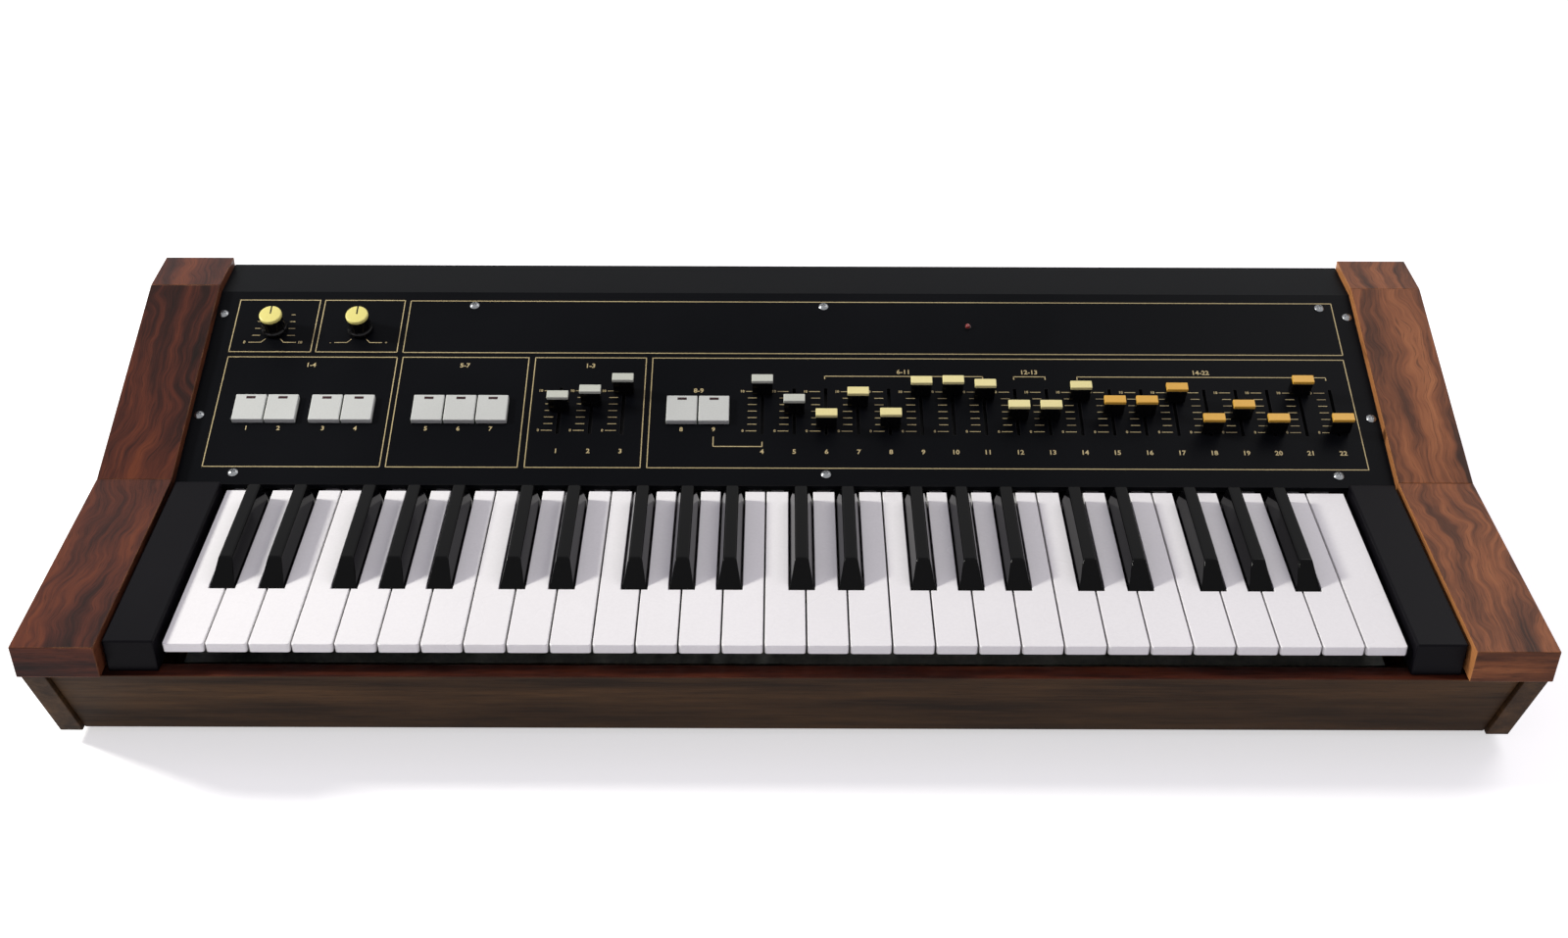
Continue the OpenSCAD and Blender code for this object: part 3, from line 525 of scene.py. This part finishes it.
BRACKET, DROP = 88, 2.2
LINK_FROM, LINK_TO, LINK_TOP, LINK_LOW, LINK_END = -44.9, -14.5, 38, 30.6, 34
bm = bmesh.new()
for x0, x1 in ((25, 125.8), (145.6, 165.6), (186, 344.7)):
    stroke(bm, x0, BRACKET, x1, BRACKET)
    for x in (x0, x1):
        stroke(bm, x, BRACKET, x, BRACKET - DROP)
stroke(bm, LINK_FROM, LINK_TOP, LINK_FROM, LINK_LOW)
stroke(bm, LINK_FROM, LINK_LOW, LINK_TO, LINK_LOW)
stroke(bm, LINK_TO, LINK_LOW, LINK_TO, LINK_END)
piece("printed_brackets", bm, [gold_ink])

SLIDES, TICKS, TICK_LOW, TICK_STEP, NUMBER_ROW = 22, 7, 43.0, 5.36, 26.5
TICK_IN, SHORT_TICK, LONG_TICK = 3.8, 9.0, 10.2
slides = [f"slider_{n + 1}" for n in range(SLIDES)]
slide_x = [(panel_box(name)[0].x + panel_box(name)[1].x) / 2 for name in slides]
bm = bmesh.new()
for n, x in enumerate(slide_x):
    for tick in range(TICKS):
        s = TICK_LOW + tick * TICK_STEP
        end = tick in (0, TICKS - 1)
        stroke(bm, x - (LONG_TICK if end else SHORT_TICK), s, x - TICK_IN, s, THIN_LINE)
    figures(bm, "0", x - LONG_TICK - 2, TICK_LOW, SCALE_FIGURE)
    figures(bm, "10", x - LONG_TICK - 2.6, TICK_LOW + (TICKS - 1) * TICK_STEP, SCALE_FIGURE)
    figures(bm, str(n + 1), x, NUMBER_ROW, ROW_FIGURE)
piece("printed_slide_scales", bm, [gold_ink])
bm = bmesh.new()
for text, x, s in (("1-4", -303.9, 96), ("5-7", -205.3, 96), ("1-3", -124.9, 96),
                   ("8-9", -55, 75.5), ("6-11", 75.4, 91.6), ("12-13", 155.6, 91.6),
                   ("14-22", 265.3, 91.6)):
    figures(bm, text, x, s, ROW_FIGURE)
piece("printed_group_numbers", bm, [gold_ink])


# Rotary knobs. Black moulded knobs on steel shafts, each with a pale yellow cap that carries a
# dark pointer line; knob 1 is a level scale and knob 2 a fine tuning scale.
knob_black = finish_of("knob_black", srgb(8, 8, 9), srgb(13, 13, 14), (0.12, 0.18), 900.0, 0.04,
                       specular=0.15, coat=0.15)
knob_yellow = finish_of("knob_yellow", srgb(230, 222, 132), srgb(224, 214, 122), (0.35, 0.45),
                        900.0, 0.05)
KNOB_R, KNOB_TOP_R, KNOB_H, KNOB_GAP, SHAFT_R, SHAFT_END = 8.4, 7.2, 15, 0.8, 3, -9.2
CAP_FOOT = KNOB_H - 2.4
ARC_DROP, ARC_IN, ARC_OUT, TICK_RISE = 11.2, 7.4, 15.2, 6
bm = bmesh.new()
for name, ends, ticks in (("knob_1", ("0", "10"), 4), ("knob_2", ("-", "+"), 0)):
    low, high = panel_box(name)
    x, s = (low.x + high.x) / 2, (low.y + high.y) / 2
    for sign, text in ((-1, ends[0]), (1, ends[1])):
        foot_s = s - ARC_DROP
        stroke(bm, x + sign * ARC_OUT, foot_s, x + sign * ARC_IN, foot_s, THIN_LINE)
        stroke(bm, x + sign * ARC_IN, foot_s, x + sign * 5, s - 8.4, THIN_LINE)
        figures(bm, text, x + sign * 18, foot_s, KNOB_FIGURE)
        for tick in range(ticks):
            tick_s = s - 5.2 + tick * TICK_RISE
            stroke(bm, x + sign * (13.6 - 0.8 * tick), tick_s, x + sign * 9, tick_s, THIN_LINE)
piece("printed_knob_scales", bm, [gold_ink])

for name in ("knob_1", "knob_2"):
    low, high = panel_box(name)
    x, s = (low.x + high.x) / 2, (low.y + high.y) / 2
    foot, square, right = on_panel(x, s).to_translation(), PANEL.col[2].xyz, PANEL.col[0].xyz
    bm = bmesh.new()
    turned(bm, [(0, KNOB_GAP), (KNOB_R - 0.4, KNOB_GAP), (KNOB_R, KNOB_GAP + 0.4), (KNOB_R, 2.6),
                (KNOB_R - 0.4, 3.2), (KNOB_TOP_R + 0.1, 4.2), (KNOB_TOP_R, 5.2),
                (KNOB_TOP_R, CAP_FOOT), (0, CAP_FOOT)], foot, square, right, steps=64)
    piece(name + "_body", bm, [knob_black], name, [name], smooth=True)
    bm = bmesh.new()
    turned(bm, [(0, CAP_FOOT), (KNOB_TOP_R - 0.2, CAP_FOOT), (KNOB_TOP_R, KNOB_H - 2.2),
                (KNOB_TOP_R, KNOB_H - 0.7), (KNOB_TOP_R - 0.25, KNOB_H - 0.2),
                (KNOB_TOP_R - 0.8, KNOB_H), (0, KNOB_H)], foot, square, right, steps=64)
    piece(name + "_cap", bm, [knob_yellow], name, smooth=True)
    bm = bmesh.new()
    block(bm, on_panel(x, s + 3.4, KNOB_H), (0.9, 6.6, 0.16))
    piece(name + "_pointer", bm, [knob_black], name)
    bm = bmesh.new()
    turned(bm, [(0, SHAFT_END), (SHAFT_R, SHAFT_END), (SHAFT_R, KNOB_GAP), (0, KNOB_GAP)], foot,
           square, right, steps=24)
    piece(name + "_shaft", bm, [zinc], name, smooth=True)


# Push buttons. Nine grey moulded caps in groups of two and three, each with a dark red lamp
# window at its rear edge, on square plungers that reach down to the switches.
# The caps' edges are painted paler as a highlight.
button_grey = finish_of("button_grey", srgb(190, 193, 187), srgb(200, 203, 197), (0.4, 0.5),
                        1300.0, 0.06, painted_highlight=srgb(226, 228, 222))
lamp_red = finish_of("lamp_window", srgb(34, 12, 16), srgb(52, 15, 20), (0.2, 0.3), 700.0, 0.03,
                     specular=0.3)
BUTTONS, BUTTON_H, SKIRT, PLUNGER, PLUNGER_END = 9, 3, 2, 4, -5.8
LAMP_IN, NUMBER_GAP = 2.7, 4.8
bm_numbers = bmesh.new()
for n in range(BUTTONS):
    name = f"button_{n + 1}"
    low, high = panel_box(name)
    x, width, depth = (low.x + high.x) / 2, high.x - low.x, high.y - low.y
    bm = bmesh.new()
    block(bm, on_panel(x, ROW, (BUTTON_H - SKIRT) / 2), (width, depth, BUTTON_H + SKIRT), 0.55, 3)
    block(bm, on_panel(x, ROW, (PLUNGER_END - SKIRT) / 2), (PLUNGER, PLUNGER, -SKIRT - PLUNGER_END))
    piece(name + "_cap", bm, [button_grey], name, [name])
    bm = bmesh.new()
    block(bm, on_panel(x, ROW + depth / 2 - LAMP_IN, BUTTON_H), (5.8, 2.0, 0.12), 0.03, 1)
    piece(name + "_lamp", bm, [lamp_red], name)
    figures(bm_numbers, str(n + 1), x, ROW - depth / 2 - NUMBER_GAP, BUTTON_FIGURE)
piece("printed_button_numbers", bm_numbers, [gold_ink])


# Slide controls. Each is a black moulded knob on a flat stem through its slot, with a coloured
# cap pressed on top: grey for the first five, cream for the next nine, orange for the last eight.
slide_black = finish_of("slide_black", srgb(7, 7, 8), srgb(12, 12, 13), (0.14, 0.2), 900.0, 0.04,
                        specular=0.15, coat=0.15)
cap_finishes = {
    "slide_grey": finish_of("cap_grey", srgb(188, 192, 178), srgb(200, 203, 190), (0.35, 0.45),
                            1100.0, 0.05),
    "slide_cream": finish_of("cap_cream", srgb(236, 226, 160), srgb(228, 216, 146), (0.35, 0.45),
                             1100.0, 0.05),
    "slide_orange": finish_of("cap_orange", srgb(226, 176, 66), srgb(216, 164, 58), (0.35, 0.45),
                              1100.0, 0.05)}
CAP_W, CAP_D, CAP_T, SLIDE_H, SLIDE_GAP = 13.4, 5.8, 2.4, 14.5, 0.8
STEM_W, STEM_L, STEM_END = 1.5, 5, -5.0
FIRST_CREAM, FIRST_ORANGE = 5, 14
neck = SLIDE_H - CAP_T
for n, name in enumerate(slides):
    low, high = panel_box(name)
    x, s = slide_x[n], (low.y + high.y) / 2
    slot = ("slide_grey" if n < FIRST_CREAM else
            "slide_cream" if n < FIRST_ORANGE else "slide_orange")
    bm = bmesh.new()
    block(bm, on_panel(x, s, (neck + SLIDE_GAP) / 2), (CAP_W - 0.6, CAP_D - 0.2, neck - SLIDE_GAP),
          0.5, 3)
    block(bm, on_panel(x, s, (STEM_END + SLIDE_GAP) / 2), (STEM_W, STEM_L, SLIDE_GAP - STEM_END))
    piece(name + "_body", bm, [slide_black], name, [name])
    bm = bmesh.new()
    block(bm, on_panel(x, s, neck + CAP_T / 2), (CAP_W, CAP_D, CAP_T), 0.4, 3)
    piece(name + "_cap", bm, [cap_finishes[slot]], name)


# Power lamp. A small moulded red lens in the long box at the rear of the panel. A black bezel
# holds it in its hole, over the lamp board.
lens_red = finish_of("lens_red", srgb(120, 20, 20), srgb(140, 28, 24), (0.1, 0.16), 500.0, 0.02,
                     coat=0.6)
LED_X, LED_S = 118.8, 130.4
foot = on_panel(LED_X, LED_S).to_translation()
bm = bmesh.new()
turned(bm, [(1.62, 0), (2.2, 0), (2.1, 0.5), (1.7, 0.6)], foot, PANEL.col[2].xyz, PANEL.col[0].xyz,
       steps=24, closed=True)
piece("power_lamp_bezel", bm, [slide_black], smooth=True)
bm = bmesh.new()
turned(bm, [(0, 0.3), (1.6, 0.3), (1.6, 1.1), (1.48, 1.65), (1.14, 2.17), (0.62, 2.51), (0, 2.63)],
       foot, PANEL.col[2].xyz, PANEL.col[0].xyz, steps=24)
piece("power_lamp_lens", bm, [lens_red], smooth=True)


# Panel screws. Pan-headed steel screws with crossed recesses. They hold the panel down on the
# rails under it and on the ledges of the cheeks.
dress("screws", screw_steel)


# Keyboard end blocks. Moulded black blocks that fill the space between the outer keys and the
# cheeks, screwed down to the tray from below.
END_IN, END_OUT, END_FRONT, END_REAR, END_TOP = 343.25, 371.2, -4, 149.2, 5
# The blocks' edges are painted paler as a highlight.
block_black = finish_of("end_block_black", srgb(9, 8, 12), srgb(14, 13, 17), (0.34, 0.42),
                        1500.0, 0.06, specular=0.05, painted_highlight=srgb(56, 56, 60))
for side, sign in (("left", -1), ("right", 1)):
    bm = bmesh.new()
    middle = spot(sign * (END_IN + END_OUT) / 2, (END_FRONT + END_REAR) / 2,
                  (RAIL_TOP + END_TOP) / 2)
    block(bm, Matrix.Translation(middle), (END_OUT - END_IN, END_REAR - END_FRONT,
                                           END_TOP - RAIL_TOP), 1.2, 4)
    piece(side + "_end_block", bm, [block_black],
          stands_for=["key_end_blocks"], smooth=True)


# White keys. Moulded tops 22.5 mm wide with a short front lip, notched round the black keys, each
# on a lever that turns on the pivot rod at its rear end.
PITCH, OCTAVE, WHITES, FIRST = 23.5, 7, 29, -340.75
KEY_GAP, KEY_LENGTH, KEY_THICK, KEY_CORNER = 0.5, 147, 5.6, 1.6
NOTCH_HALF, NOTCH_FRONT = 7.5, 49.8
LEVER_HALF, LEVER_BOTTOM, LEVER_END = 4, -13, 201
LEVER_FRONT, LEVER_TOP, LEVER_LAP = 14, -3.5, 1
SHARP_SHIFT = {0: -2.3, 1: 2.3, 3: -3.5, 4: 0, 5: 3.5}
SHARP_BODIES = {0: "left_sharps", 1: "right_sharps", 3: "left_sharps", 4: "middle_sharps",
                5: "right_sharps"}


def sharp_middle(n):
    """Where the black key behind white key n stands, or None."""
    if not 0 <= n < WHITES - 1 or n % OCTAVE not in SHARP_SHIFT:
        return None
    return FIRST + (n + 1) * PITCH + SHARP_SHIFT[n % OCTAVE]


def lever(bm, x, front, end, top):
    middle = spot(x, (front + end) / 2, (top + LEVER_BOTTOM) / 2)
    block(bm, Matrix.Translation(middle), (2 * LEVER_HALF, end - front, top - LEVER_BOTTOM))


white_plastic = finish_of("white_key", srgb(239, 238, 237), srgb(233, 232, 231), (0.2, 0.28),
                          700.0, 0.03, coat=0.2)
for n in range(WHITES):
    left = FIRST + n * PITCH + KEY_GAP
    right = left + PITCH - 2 * KEY_GAP
    lower, upper = sharp_middle(n - 1), sharp_middle(n)
    tail_left = left if lower is None else lower + NOTCH_HALF
    tail_right = right if upper is None else upper - NOTCH_HALF
    outline = [(left, 0), (right, 0), (right, NOTCH_FRONT), (tail_right, NOTCH_FRONT),
               (tail_right, KEY_LENGTH), (tail_left, KEY_LENGTH), (tail_left, NOTCH_FRONT),
               (left, NOTCH_FRONT)]
    outline = [c for k, c in enumerate(outline) if c not in outline[:k]]
    if tail_right == right:
        outline.remove((right, NOTCH_FRONT))
    if tail_left == left:
        outline.remove((left, NOTCH_FRONT))
    bm = bmesh.new()
    draw_out(bm, [spot(x, y, 0) for x, y in outline], Vector((0, 0, -KEY_THICK * MM)))
    front_y, top_z = spot(0, 0, 0).yz
    round_edges(bm, [e for e in bm.edges if all(abs(v.co.y - front_y) < SAME for v in e.verts)
                     and abs(e.verts[0].co.x - e.verts[1].co.x) < SAME], KEY_CORNER, 4)
    round_edges(bm, [e for e in bm.edges if all(abs(v.co.z - top_z) < SAME for v in e.verts)],
                0.5, 3)
    middle = (tail_left + tail_right) / 2
    lever(bm, middle, LEVER_FRONT, KEY_LENGTH - 4, LEVER_LAP - KEY_THICK)
    lever(bm, middle, KEY_LENGTH - 10, LEVER_END, LEVER_TOP)
    body = "keys_" + "cdefgab"[n % OCTAVE]
    piece(f"white_key_{n + 1}", bm, [white_plastic], body, [body], smooth=True)


# Black keys. Solid glossy mouldings with leaning sides and a sloping front, on the same kind of
# lever.
FOOT_HALF, TOP_HALF, SHARP_FOOT, SHARP_H = 6.8, 3.7, -4, 11
SHARP_FRONT, SHARP_END, SHARP_SLOPE = 51, 138, 14
black_plastic = finish_of("black_key", srgb(4, 4, 5), srgb(7, 7, 8), (0.07, 0.11), 500.0, 0.02,
                          specular=0.05, coat=0.06)
sharps = [n for n in range(WHITES) if sharp_middle(n) is not None]
for number, n in enumerate(sharps):
    x = sharp_middle(n)
    outline = [(-FOOT_HALF, SHARP_FOOT), (FOOT_HALF, SHARP_FOOT), (FOOT_HALF, 0),
               (TOP_HALF, SHARP_H), (-TOP_HALF, SHARP_H), (-FOOT_HALF, 0)]
    bm = bmesh.new()
    draw_out(bm, [spot(x + a, SHARP_FRONT, b) for a, b in outline],
             Vector((0, (SHARP_END - SHARP_FRONT) * MM, 0)))
    corner = spot(0, SHARP_FRONT, SHARP_H)
    bmesh.ops.translate(bm, vec=(0, SHARP_SLOPE * MM, 0), verts=[
        v for v in bm.verts if abs(v.co.y - corner.y) < SAME and abs(v.co.z - corner.z) < SAME])
    foot_z = spot(0, 0, -0.5).z
    round_edges(bm, [e for e in bm.edges if all(v.co.z > foot_z for v in e.verts)], 1.1, 4)
    lever(bm, x, SHARP_FRONT + 3, LEVER_END, LEVER_LAP + SHARP_FOOT)
    body = SHARP_BODIES[n % OCTAVE]
    piece(f"black_key_{number + 1}", bm, [black_plastic], body, [body], smooth=True)


# Rear panel. Black painted steel sheet, let in behind the case's edge, with six jack sockets, the
# power switch and a mains inlet. Ring nuts hold the sockets.
REAR, SOCKET_Z, FIRST_JACK, JACK_STEP, JACKS = 330, -7, -40, 32, 6
BORE, BUSHING, BUSHING_OUT, NUT, NUT_T = 3.3, 5.5, 6, 7.5, 2.2
JACK_WELL, JACK_CORNER, JACK_FRONT, JACK_FLOOR, JACK_END = 7.975, 10.605, -1.7, -21, -25.6
# The rear panel's edges are painted paler as a highlight.
rear_paint = finish_of("rear_panel_black", srgb(22, 22, 24), srgb(32, 32, 34), (0.45, 0.55),
                       1600.0, 0.12, specular=0.35, painted_highlight=srgb(84, 84, 84))
nickel = finish_of("nickel_plate", srgb(176, 172, 160), srgb(198, 194, 182), (0.2, 0.32), 500.0,
                   0.05, metal=1.0)
brass = finish_of("brass_pins", srgb(190, 160, 90), srgb(206, 178, 108), (0.25, 0.35), 500.0, 0.04,
                  metal=1.0)
moulded = finish_of("moulded_black", srgb(18, 18, 19), srgb(28, 28, 29), (0.35, 0.5), 1500.0, 0.1)
dress("rear_panel", rear_paint)
diagonal = Vector((1, 0, 1)).normalized()
for n in range(JACKS):
    middle = spot(FIRST_JACK + n * JACK_STEP, REAR, SOCKET_Z)
    bm = bmesh.new()
    turned(bm, [(BORE, -20), (BORE, BUSHING_OUT - 0.3), (BORE + 0.3, BUSHING_OUT),
                (BUSHING - 0.3, BUSHING_OUT), (BUSHING, BUSHING_OUT - 0.3), (BUSHING, -20)],
           middle, REARWARD, RIGHTWARD, steps=32, closed=True)
    piece(f"jack_{n + 1}_bushing", bm, [nickel], stands_for=["rear_jacks"],
          smooth=True)
    bm = bmesh.new()
    turned(bm, [(BUSHING + 0.02, 0), (NUT, 0), (NUT, NUT_T - 0.4), (NUT - 0.4, NUT_T),
                (BUSHING + 0.02, NUT_T)], middle, REARWARD, RIGHTWARD, steps=6, closed=True)
    piece(f"jack_{n + 1}_nut", bm, [nickel])
    bm = bmesh.new()
    turned(bm, [(JACK_WELL, JACK_FRONT), (JACK_CORNER, JACK_FRONT), (JACK_CORNER, JACK_END),
                (0, JACK_END), (0, JACK_FLOOR), (JACK_WELL, JACK_FLOOR)],
           middle, REARWARD, diagonal, steps=4)
    bmesh.ops.holes_fill(bm, edges=bm.edges)
    piece(f"jack_{n + 1}_body", bm, [moulded])


def rim_and_well(bm, x, width, height, rim, rim_t, well_w, well_h, deep, back):
    """A moulded frame at x: a rim outside the rear panel round a well that opens to the rear."""
    block(bm, Matrix.Translation(spot(x, (back + 0.2) / 2 + REAR, SOCKET_Z)),
          (width, 0.2 - back, height))
    mouth = max(bm.faces, key=lambda f: f.calc_center_median().y)
    bmesh.ops.inset_region(bm, faces=[mouth], thickness=(width - well_w) / 2 * MM,
                           use_even_offset=True)
    sunk = bmesh.ops.extrude_face_region(bm, geom=[mouth])["geom"]
    bmesh.ops.translate(bm, vec=(0, -deep * MM, 0),
                        verts=[g for g in sunk if isinstance(g, bmesh.types.BMVert)])
    bmesh.ops.recalc_face_normals(bm, faces=bm.faces)
    for sign in (-1, 1):
        block(bm, Matrix.Translation(spot(x + sign * (well_w + width + 2 * rim) / 4,
                                          REAR + rim_t / 2, SOCKET_Z)),
              ((width + 2 * rim - well_w) / 2, rim_t, height + 2 * rim), 0.4)
        block(bm, Matrix.Translation(spot(x, REAR + rim_t / 2,
                                          SOCKET_Z + sign * (well_h + height + 2 * rim) / 4)),
              (well_w, rim_t, (height + 2 * rim - well_h) / 2), 0.0)


INLET_X, ROCKER_X = 300, 250
bm = bmesh.new()
rim_and_well(bm, INLET_X, width=28, height=20, rim=3, rim_t=2, well_w=24, well_h=16, deep=15,
             back=-18)
piece("mains_inlet_body", bm, [moulded])
bm = bmesh.new()
for x, z in ((-7, 0), (0, 2), (7, 0)):
    block(bm, Matrix.Translation(spot(INLET_X + x, REAR - 11.5, SOCKET_Z - 0.5 + z)), (2, 9, 5),
          0.3)
piece("mains_inlet_pins", bm, [brass])
bm = bmesh.new()
rim_and_well(bm, ROCKER_X, width=16, height=24, rim=1.5, rim_t=1.5, well_w=13, well_h=21,
             deep=14.5, back=-16)
piece("power_switch_frame", bm, [moulded])
dress("power_rocker", slide_black)


# Camera, floor and light. A small strong lamp on the left gives the black keys their crisp
# shadows, a broad weak one behind on the right fills them, and the surroundings are a pale lilac.
CAMERA_AT = Vector((-0.00244, -0.97002, 0.74937))
PITCH_DOWN, YAW, ROLL, LENS = 34.2003, -0.0978, 0.2372, 43.77
lens = bpy.data.cameras.new("camera")
lens.lens, lens.sensor_width = LENS, 36
camera = bpy.data.objects.new("camera", lens)
bpy.context.scene.collection.objects.link(camera)
camera.matrix_world = (Matrix.Translation(CAMERA_AT)
                       @ Matrix.Rotation(math.radians(YAW), 4, "Z")
                       @ Matrix.Rotation(math.radians(90 - PITCH_DOWN), 4, "X")
                       @ Matrix.Rotation(math.radians(ROLL), 4, "Z"))
bpy.context.scene.camera = camera


def area_lamp(name, place, target, size, power, colour):
    lamp = bpy.data.lights.new(name, "AREA")
    lamp.shape, lamp.size, lamp.energy, lamp.color = "DISK", size, power, colour
    shown = bpy.data.objects.new(name, lamp)
    bpy.context.scene.collection.objects.link(shown)
    aim = Vector(target) - Vector(place)
    turn = aim.to_track_quat("-Z", "Y").to_matrix().to_4x4()
    shown.matrix_world = Matrix.Translation(place) @ turn


area_lamp("key_lamp", (-2.0, 0.15, 1.25), (0, -0.03, 0.08), size=0.34, power=46.5,
          colour=(1.0, 0.985, 0.93))
area_lamp("right_lamp", (1.3, 0.9, 1.7), (0.1, 0, 0.08), size=1.3, power=10,
          colour=(1.0, 0.97, 0.94))

studio = bpy.data.worlds.new("studio")
studio.use_nodes = True
tree = studio.node_tree
path = node(tree, "LightPath")
seen_by = sums(tree, "MAXIMUM", path.outputs["Is Camera Ray"],
               sums(tree, "MAXIMUM", path.outputs["Is Glossy Ray"],
                    path.outputs["Is Transmission Ray"]))
ground = tree.nodes["Background"]
tree.links.new(between(tree, seen_by, (0.9, 0.85, 0.98, 1.0), (1, 1, 1, 1)), ground.inputs[0])
tree.links.new(spread(tree, seen_by, 0.5, 1.0), ground.inputs[1])
bpy.context.scene.world = studio

bm = bmesh.new()
bmesh.ops.create_grid(bm, x_segments=1, y_segments=1, size=20)
mesh = bpy.data.meshes.new("floor")
bm.to_mesh(mesh)
bm.free()
floor = bpy.data.objects.new("floor", mesh)
bpy.context.scene.collection.objects.link(floor)
material, tree, shader = new_material("pale_floor")
shader.inputs["Base Color"].default_value = (0.9, 0.9, 0.9, 1)
shader.inputs["Roughness"].default_value = 0.9
shader.inputs["Specular IOR Level"].default_value = 0.0
shader.inputs["Emission Color"].default_value = (1, 1, 1, 1)
path = node(tree, "LightPath")
seen_by = sums(tree, "MAXIMUM", path.outputs["Is Camera Ray"], path.outputs["Is Glossy Ray"])
tree.links.new(sums(tree, "MULTIPLY", seen_by, 0.55), shader.inputs["Emission Strength"])
mesh.materials.append(material)

bpy.context.scene.view_settings.view_transform = "Standard"
